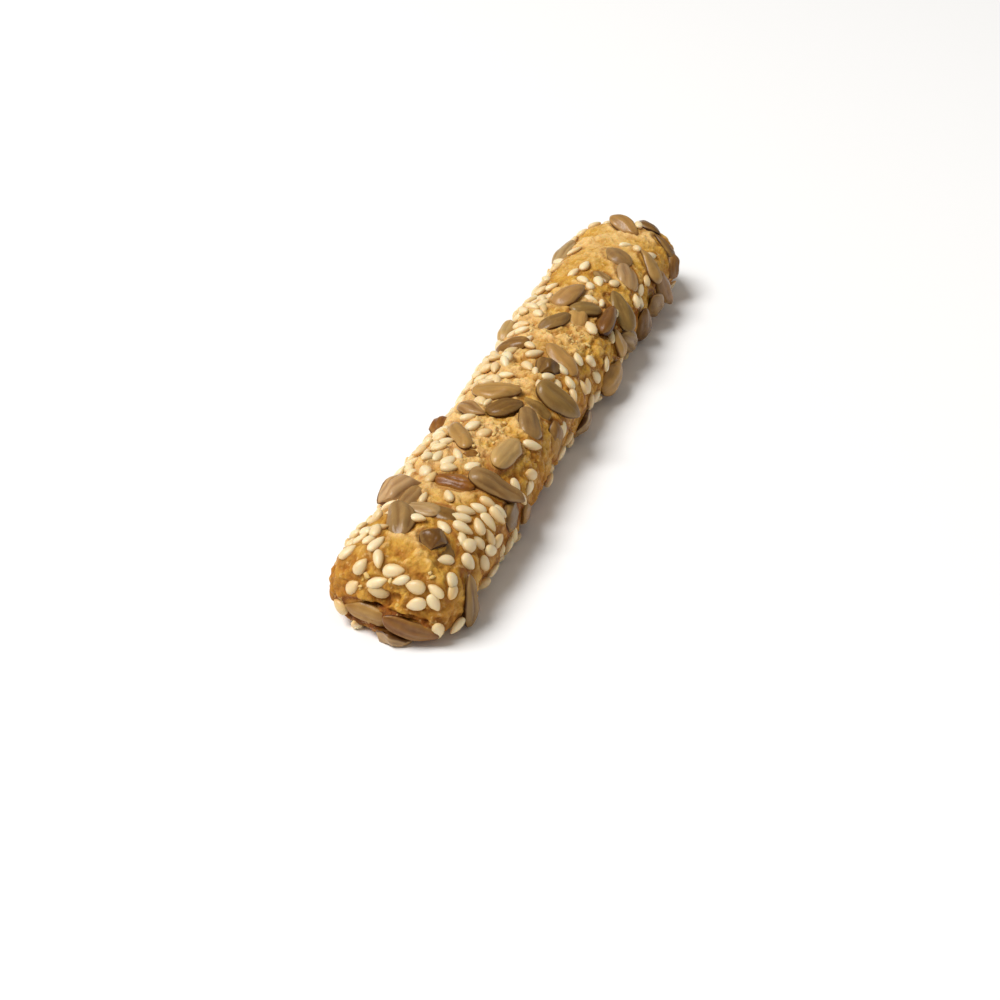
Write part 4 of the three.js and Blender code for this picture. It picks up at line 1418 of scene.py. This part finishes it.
class Shading:
    """A material's node tree, with short ways to add nodes and link their sockets."""

    def __init__(self, tree):
        self.tree = tree

    def node(self, kind, values=None, **settings):
        """A new node, with settings of its own and values for its sockets."""
        made = self.tree.nodes.new(kind)
        for key, value in settings.items():
            setattr(made, key, value)
        for key, value in (values or {}).items():
            made.inputs[key].default_value = value
        return made

    def link(self, start, end):
        """Links an output to an input."""
        self.tree.links.new(start, end)

    def attribute(self, name, output="Fac"):
        """One of the mesh's own attributes."""
        return self.node("ShaderNodeAttribute", attribute_name=name).outputs[output]

    def noise(self, vector, scale, detail, roughness):
        """Soft noise at a vector."""
        values = {"Scale": scale, "Detail": detail, "Roughness": roughness}
        made = self.node("ShaderNodeTexNoise", values)
        self.link(vector, made.inputs["Vector"])
        return made.outputs["Fac"]

    def math(self, operation, a, b, clamp=False):
        """An operation on two values, each a number or an output."""
        made = self.node("ShaderNodeMath", operation=operation, use_clamp=clamp)
        for socket, value in zip(made.inputs, (a, b)):
            if isinstance(value, (int, float)):
                socket.default_value = value
            else:
                self.link(value, socket)
        return made.outputs[0]

    def times(self, a, b, clamp=False):
        """One value times another."""
        return self.math("MULTIPLY", a, b, clamp)

    def stretched(self, value, middle, gain, clamp=True):
        """How far a value lies above a middle, times a gain."""
        return self.times(self.math("SUBTRACT", value, middle), gain, clamp)

    def tinted(self, colour, mask, tint, strength=1, kind="MULTIPLY"):
        """A colour with a tint laid over it through a mask, at a strength."""
        if strength != 1:
            mask = self.times(mask, strength)
        return self.blend(mask, colour, tint, kind)

    def tinted_by_attributes(self, colour, tints):
        """A colour with each tint laid over it through the attribute of the tint's name."""
        for name, tint in tints.items():
            colour = self.tinted(colour, self.attribute(name), *tint)
        return colour

    def blend(self, share, low, high, kind="MIX"):
        """Two colours blended by a share: each is a colour or an output."""
        made = self.node("ShaderNodeMix", data_type="RGBA", blend_type=kind)
        sockets = (made.inputs[0], made.inputs[6], made.inputs[7])
        for socket, value in zip(sockets, (share, low, high)):
            if isinstance(value, (int, float)):
                socket.default_value = value
            elif isinstance(value, tuple):
                socket.default_value = (*value[:3], 1)
            else:
                self.link(value, socket)
        return made.outputs[2]

    def ramp(self, share, places, colours):
        """A colour for a share, through colours that stand at given places."""
        made = self.node("ShaderNodeValToRGB")
        elements = made.color_ramp.elements
        while len(elements) < len(places):
            elements.new(0.5)
        for element, place, colour in zip(elements, places, colours):
            element.position = place
            element.color = (*colour[:3], 1)
        self.link(share, made.inputs[0])
        return made.outputs["Color"]

    def bump(self, height, distance, strength):
        """A normal from a height."""
        made = self.node("ShaderNodeBump", {"Distance": distance, "Strength": strength})
        self.link(height, made.inputs["Height"])
        return made.outputs["Normal"]


def fine_grain_group():
    """A node group shared by every finish here: fine grain from Object coordinates, out as a
    height, a mask of scattered specks, a soft mottle and the height of small crumbs, all from 0
    to 1."""
    name = "Fine Grain"
    if name in bpy.data.node_groups:
        return bpy.data.node_groups[name]
    group = bpy.data.node_groups.new(name, "ShaderNodeTree")
    for socket, (scale, _, _) in FINE_GRAIN.items():
        made = group.interface.new_socket(socket, in_out="INPUT", socket_type="NodeSocketFloat")
        made.default_value = scale
    for socket in ("Height", "Specks", "Mottle", "Crumb"):
        group.interface.new_socket(socket, in_out="OUTPUT", socket_type="NodeSocketFloat")
    shading = Shading(group)
    start = shading.node("NodeGroupInput").outputs
    end = shading.node("NodeGroupOutput").inputs
    place = shading.node("ShaderNodeTexCoord").outputs["Object"]
    noises = []
    for socket, (_, detail, roughness) in FINE_GRAIN.items():
        noise = shading.node("ShaderNodeTexNoise", {"Detail": detail, "Roughness": roughness})
        shading.link(place, noise.inputs["Vector"])
        shading.link(start[socket], noise.inputs["Scale"])
        noises.append(noise.outputs)
    fine, speck, mottle = noises
    push = shading.node("ShaderNodeVectorMath", {"Scale": CRUMB_CELLS["push"]}, operation="SCALE")
    shading.link(speck["Color"], push.inputs[0])
    pushed = shading.node("ShaderNodeVectorMath", operation="ADD")
    shading.link(place, pushed.inputs[0])
    shading.link(push.outputs[0], pushed.inputs[1])
    values = {"Scale": CRUMB_CELLS["scale"], "Detail": CRUMB_CELLS["detail"]}
    cells = shading.node("ShaderNodeTexVoronoi", values)
    shading.link(pushed.outputs[0], cells.inputs["Vector"])
    shading.link(shading.math("SUBTRACT", 1.0, cells.outputs["Distance"], True), end["Crumb"])
    specks = shading.stretched(speck["Fac"], SPECKS["from"], SPECKS["gain"])
    shading.link(fine["Fac"], end["Height"])
    shading.link(specks, end["Specks"])
    shading.link(mottle["Fac"], end["Mottle"])
    return group


def new_finish(name):
    """A new node material with what is the same all over it: its Shading, its Principled shader
    and the outputs of the shared grain."""
    material = bpy.data.materials.new(name)
    material.use_nodes = True
    shading = Shading(material.node_tree)
    shader = material.node_tree.nodes["Principled BSDF"]
    for socket, value in FINISHES[name].items():
        shader.inputs[socket].default_value = value
    grain = shading.node("ShaderNodeGroup", node_tree=fine_grain_group())
    return material, shading, shader.inputs, grain.outputs


def dough_material(settings):
    """Baked dough: the browning attribute through a ramp from pale crumb to dark crust, mottled,
    with painted shade, darker and redder, in crevices, in pores and round the seeds, greyed where a
    skin covers a kernel, with fine grain, a buttery sheen and a little light passing through."""
    material, shading, shader, grain = new_finish("Baked Dough")
    look = DOUGH_LOOK
    mottle = shading.stretched(grain["Mottle"], MIDDLE, look["mottle"], False)
    browned = shading.math("ADD", shading.attribute("bake"), mottle, True)
    crusts = [getattr(settings, crust) for crust in CRUST_STOPS]
    colour = shading.ramp(browned, CRUST_STOPS.values(), crusts)
    # Painted shade in the crevices and round the seeds
    colour = shading.tinted_by_attributes(colour, CRUST_SHADE_TINTS)
    # Painted shade in the pores, where the fine grain's height is low
    pores = shading.times(shading.math("SUBTRACT", MIDDLE, grain["Height"]), look["pores"], True)
    colour = shading.tinted(colour, pores, *PORE_SHADE_TINT)
    pale = tuple(settings.pale_crumb)
    colour = shading.tinted(colour, grain["Specks"], pale, look["flecks"], "MIX")
    colour = shading.tinted(colour, shading.attribute("stain"), *STAIN_TINT)
    shading.link(colour, shader["Base Color"])
    crumb = shading.times(shading.attribute("rough"), look["crumbs"])
    height = shading.math("ADD", grain["Height"], shading.times(grain["Crumb"], crumb))
    dull = shading.times(shading.attribute("crevice_shade"), look["dull"])
    shading.link(shading.math("ADD", dull, look["roughness"], True), shader["Roughness"])
    shading.link(shading.bump(height, *look["bumps"]), shader["Normal"])
    return material


def kernel_material(settings):
    """Sunflower kernel skin: each kernel's own tone with lengthwise streaks, darker in its
    furrows as painted shade, a paler line inside its edge, darker at the tip, darker round its
    lower rim and underneath as painted shade, and dusted with dough where it is coated."""
    material, shading, shader, grain = new_finish("Sunflower Kernel")
    look = KERNEL_LOOK
    tone = shading.attribute("tone", "Color")
    streak = shading.noise(shading.attribute("grain_place", "Vector"), *look["streaks"])
    streak = shading.times(shading.math("ADD", streak, grain["Mottle"]), look["contrast"])
    streak = shading.math("ADD", streak, look["darkest"])
    shade = shading.node("ShaderNodeCombineColor")
    for socket in shade.inputs:
        shading.link(streak, socket)
    colour = shading.blend(1.0, tone, shade.outputs["Color"], "MULTIPLY")
    # The furrow and under tints are painted shade
    colour = shading.tinted_by_attributes(colour, KERNEL_TINTS)
    soft = shading.stretched(grain["Mottle"], *look["dust"])
    dusted = shading.times(shading.attribute("coat"), soft)
    flecks = shading.times(grain["Specks"], look["flecks"])
    dusted = shading.math("ADD", dusted, flecks, True)
    colour = shading.blend(dusted, colour, tuple(settings.dust_colour))
    shading.link(colour, shader["Base Color"])
    height = shading.math("ADD", streak, shading.times(grain["Height"], look["grain"]))
    shading.link(shading.bump(height, *look["bumps"]), shader["Normal"])
    return material


def sesame_material():
    """Hulled sesame: ivory, yellower at the tip, darker and yellower round the rim as painted
    shade, softly mottled, with a satin skin that lets a little light through."""
    material, shading, shader, grain = new_finish("Sesame")
    # The rim tint is painted shade round the seed's edge
    colour = shading.tinted_by_attributes(shading.attribute("tone", "Color"), SESAME_TINTS)
    mottle = shading.stretched(grain["Mottle"], MIDDLE, SESAME_LOOK["mottle"])
    shading.link(shading.tinted(colour, mottle, *MOTTLE_TINT), shader["Base Color"])
    shading.link(shading.bump(grain["Height"], *SESAME_LOOK["bumps"]), shader["Normal"])
    return material


def floor_material(settings):
    """The plain pale floor."""
    material, shading, shader, grain = new_finish("Pale Floor")
    colour = shading.tinted(tuple(settings.floor_colour), grain["Mottle"], *FLOOR_TINT)
    shading.link(colour, shader["Base Color"])
    return material


# ---------------------------------------------------------------- settings


def colour_property(**words):
    """A colour setting, each of its channels from 0 to 1."""
    return FloatVectorProperty(subtype="COLOR", min=0, max=1, **words)


class DoughSettings(bpy.types.PropertyGroup):
    """Sizes and colours of the dough."""

    stations: IntProperty(
        name="Stations",
        description="Rings of the dough's mesh along the stick",
        default=520,
        min=40,
    )
    sides: IntProperty(
        name="Sides", description="Points of each ring round the stick", default=180, min=24
    )
    crumbs: IntProperty(
        name="Crumbs", description="Most loose crumbs stuck to the crust", default=110, min=0
    )
    pale_crumb: colour_property(
        name="Pale crumb", description="Colour of the palest crumb", default=(0.86, 0.57, 0.225)
    )
    golden_crust: colour_property(
        name="Golden crust", description="Colour of most of the crust", default=(0.67, 0.375, 0.058)
    )
    amber_crust: colour_property(
        name="Amber crust",
        description="Colour of the crust at the ends and edges",
        default=(0.53, 0.235, 0.024),
    )
    brown_crust: colour_property(
        name="Brown crust",
        description="Colour of the most baked crust",
        default=(0.25, 0.092, 0.012),
    )


class SeedSettings(bpy.types.PropertyGroup):
    """Counts and colours of the kernels and the sesame."""

    ruled_kernels: IntProperty(
        name="Kernels by rule", description="Kernels on the sides out of sight", default=22, min=0
    )
    ruled_sesame: IntProperty(
        name="Sesame by rule",
        description="Most sesame on the sides out of sight",
        default=260,
        min=0,
    )
    kernel_rings: IntProperty(
        name="Kernel rings", description="Rings of each kernel's mesh", default=21, min=3
    )
    kernel_sides: IntProperty(
        name="Kernel sides", description="Points of each kernel's rings", default=28, min=6
    )
    sesame_rings: IntProperty(
        name="Sesame rings", description="Rings of each sesame's mesh", default=7, min=3
    )
    sesame_sides: IntProperty(
        name="Sesame sides", description="Points of each sesame's rings", default=10, min=6
    )
    sesame_colour: colour_property(
        name="Sesame", description="Colour of the palest sesame", default=(0.89, 0.735, 0.47)
    )
    sesame_toasted: colour_property(
        name="Toasted sesame",
        description="Colour of the most toasted sesame",
        default=(0.70, 0.46, 0.17),
    )
    dust_colour: colour_property(
        name="Dough dust",
        description="Colour of the dough that coats a kernel",
        default=(0.56, 0.33, 0.09),
    )


class StageSettings(bpy.types.PropertyGroup):
    """The floor, the light and the camera."""

    floor_size: FloatProperty(
        name="Floor size", description="Side of the floor", default=4.0, unit="LENGTH"
    )
    floor_colour: colour_property(
        name="Floor", description="Colour of the floor", default=(0.96, 0.96, 0.96)
    )
    azimuth: FloatProperty(
        name="Azimuth",
        description="Camera's angle round the stick",
        default=np.radians(-70.56),
        unit="ROTATION",
    )
    elevation: FloatProperty(
        name="Elevation",
        description="Camera's angle above the floor",
        default=np.radians(34),
        unit="ROTATION",
    )
    distance: FloatProperty(
        name="Distance", description="From the camera to its aim", default=0.302, unit="LENGTH"
    )
    aim: FloatVectorProperty(
        name="Aim",
        description="The point on the floor at the middle of the view",
        subtype="XYZ",
        unit="LENGTH",
        default=(-0.02487, -0.00255, 0.0),
    )
    nearest: FloatProperty(
        name="Nearest", description="Where the camera's view begins", default=0.01, unit="LENGTH"
    )
    lens: FloatProperty(
        name="Lens", description="Focal length in millimetres", default=61.2, unit="CAMERA"
    )
    key_power: FloatProperty(
        name="Key power",
        description="Power of the large soft key light",
        default=34.8,
        unit="POWER",
    )
    key_size: FloatProperty(
        name="Key size", description="Side of the key light", default=0.9, unit="LENGTH"
    )
    key_place: FloatVectorProperty(
        name="Key place",
        description="Where the key light hangs",
        subtype="XYZ",
        unit="LENGTH",
        default=(-0.48, 0.8, 1.6),
    )
    sky: FloatProperty(name="Sky", description="Strength of the pale surroundings", default=0.3)
    sky_colour: colour_property(
        name="Sky colour", description="Colour of the pale surroundings", default=(1, 0.95, 0.88)
    )


# ---------------------------------------------------------------- operators and panel


def seed_tables(context):
    """Both seed tables with all that the pieces need, from the settings."""
    settings = context.scene.breadstick_seeds
    kernels = kernel_table(settings.ruled_kernels)
    dress_kernels(kernels)
    sesame = sesame_table(settings.ruled_sesame, kernels)
    dress_sesame(settings, sesame)
    settle(kernels)
    settle(sesame)
    return kernels, sesame


class BREADSTICK_OT_dough(bpy.types.Operator):
    """Build the baked dough and the crumbs stuck to it"""

    bl_idname = "breadstick.dough"
    bl_label = "Build Dough"

    def execute(self, context):
        settings = context.scene.breadstick_dough
        kernels, sesame = seed_tables(context)
        build_dough(settings, kernels, sesame)
        build_crumbs(settings, kernels, sesame)
        return {"FINISHED"}


class BREADSTICK_OT_kernels(bpy.types.Operator):
    """Build the sunflower kernels"""

    bl_idname = "breadstick.kernels"
    bl_label = "Build Sunflower Kernels"

    def execute(self, context):
        kernels, _ = seed_tables(context)
        build_kernels(context.scene.breadstick_seeds, kernels)
        return {"FINISHED"}


class BREADSTICK_OT_sesame(bpy.types.Operator):
    """Build the sesame seeds"""

    bl_idname = "breadstick.sesame"
    bl_label = "Build Sesame"

    def execute(self, context):
        _, sesame = seed_tables(context)
        build_sesame(context.scene.breadstick_seeds, sesame)
        return {"FINISHED"}


def add_light(name, power, size, place):
    """A square area light at a place, turned to the stick."""
    data = bpy.data.lights.new(name, "AREA")
    data.energy = power
    data.size = size
    light = bpy.data.objects.new(name, data)
    light.location = place
    light.rotation_euler = (-Vector(place)).to_track_quat("-Z", "Y").to_euler()
    bpy.context.scene.collection.objects.link(light)
    return light


class BREADSTICK_OT_stage(bpy.types.Operator):
    """Build the pale floor, the soft light and the camera"""

    bl_idname = "breadstick.stage"
    bl_label = "Build Stage"

    def execute(self, context):
        settings = context.scene.breadstick_stage
        half = settings.floor_size / 2
        corners = [(-half, -half, 0), (half, -half, 0), (half, half, 0), (-half, half, 0)]
        mesh = bpy.data.meshes.new("floor")
        mesh.from_pydata(corners, [], [(0, 1, 2, 3)])
        mesh.materials.append(floor_material(settings))
        floor = bpy.data.objects.new("floor", mesh)
        context.scene.collection.objects.link(floor)
        add_light("key_light", settings.key_power, settings.key_size, settings.key_place)
        world = bpy.data.worlds.new("Pale Surroundings")
        world.use_nodes = True
        background = world.node_tree.nodes["Background"]
        background.inputs["Color"].default_value = (*settings.sky_colour, 1)
        background.inputs["Strength"].default_value = settings.sky
        context.scene.world = world
        context.scene.view_settings.view_transform = "Standard"
        self.add_camera(context, settings)
        return {"FINISHED"}

    @staticmethod
    def add_camera(context, settings):
        """The camera stands at its distance from the aim, along the azimuth and elevation."""
        azimuth, elevation = settings.azimuth, settings.elevation
        back = Vector(
            (
                np.sin(azimuth) * np.cos(elevation),
                -np.cos(azimuth) * np.cos(elevation),
                np.sin(elevation),
            )
        )
        data = bpy.data.cameras.new("camera")
        data.lens = settings.lens
        data.clip_start = settings.nearest
        camera = bpy.data.objects.new("camera", data)
        camera.location = Vector(settings.aim) + back * settings.distance
        camera.rotation_euler = (-back).to_track_quat("-Z", "Y").to_euler()
        context.scene.collection.objects.link(camera)
        context.scene.camera = camera


class BREADSTICK_PT_panel(bpy.types.Panel):
    """Lists the breadstick's settings and builders in the sidebar"""

    bl_idname = "BREADSTICK_PT_panel"
    bl_label = "Seeded Breadstick"
    bl_space_type = "VIEW_3D"
    bl_region_type = "UI"
    bl_category = "Breadstick"

    def draw(self, context):
        for name in ("breadstick_dough", "breadstick_seeds", "breadstick_stage"):
            settings = getattr(context.scene, name)
            box = self.layout.box()
            for key in settings.__annotations__:
                box.prop(settings, key)
        for operator in OPERATORS:
            self.layout.operator(operator.bl_idname)


OPERATORS = (
    BREADSTICK_OT_stage,
    BREADSTICK_OT_dough,
    BREADSTICK_OT_kernels,
    BREADSTICK_OT_sesame,
)
SETTINGS = {
    "breadstick_dough": DoughSettings,
    "breadstick_seeds": SeedSettings,
    "breadstick_stage": StageSettings,
}


def register():
    for kind in (*SETTINGS.values(), *OPERATORS, BREADSTICK_PT_panel):
        bpy.utils.register_class(kind)
    for name, kind in SETTINGS.items():
        setattr(bpy.types.Scene, name, PointerProperty(type=kind))


def unregister():
    for name in SETTINGS:
        delattr(bpy.types.Scene, name)
    for kind in (BREADSTICK_PT_panel, *OPERATORS, *SETTINGS.values()):
        bpy.utils.unregister_class(kind)


def main():
    """Register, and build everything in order."""
    register()
    bpy.ops.breadstick.stage()
    bpy.ops.breadstick.dough()
    bpy.ops.breadstick.kernels()
    bpy.ops.breadstick.sesame()


if __name__ == "__main__":
    main()
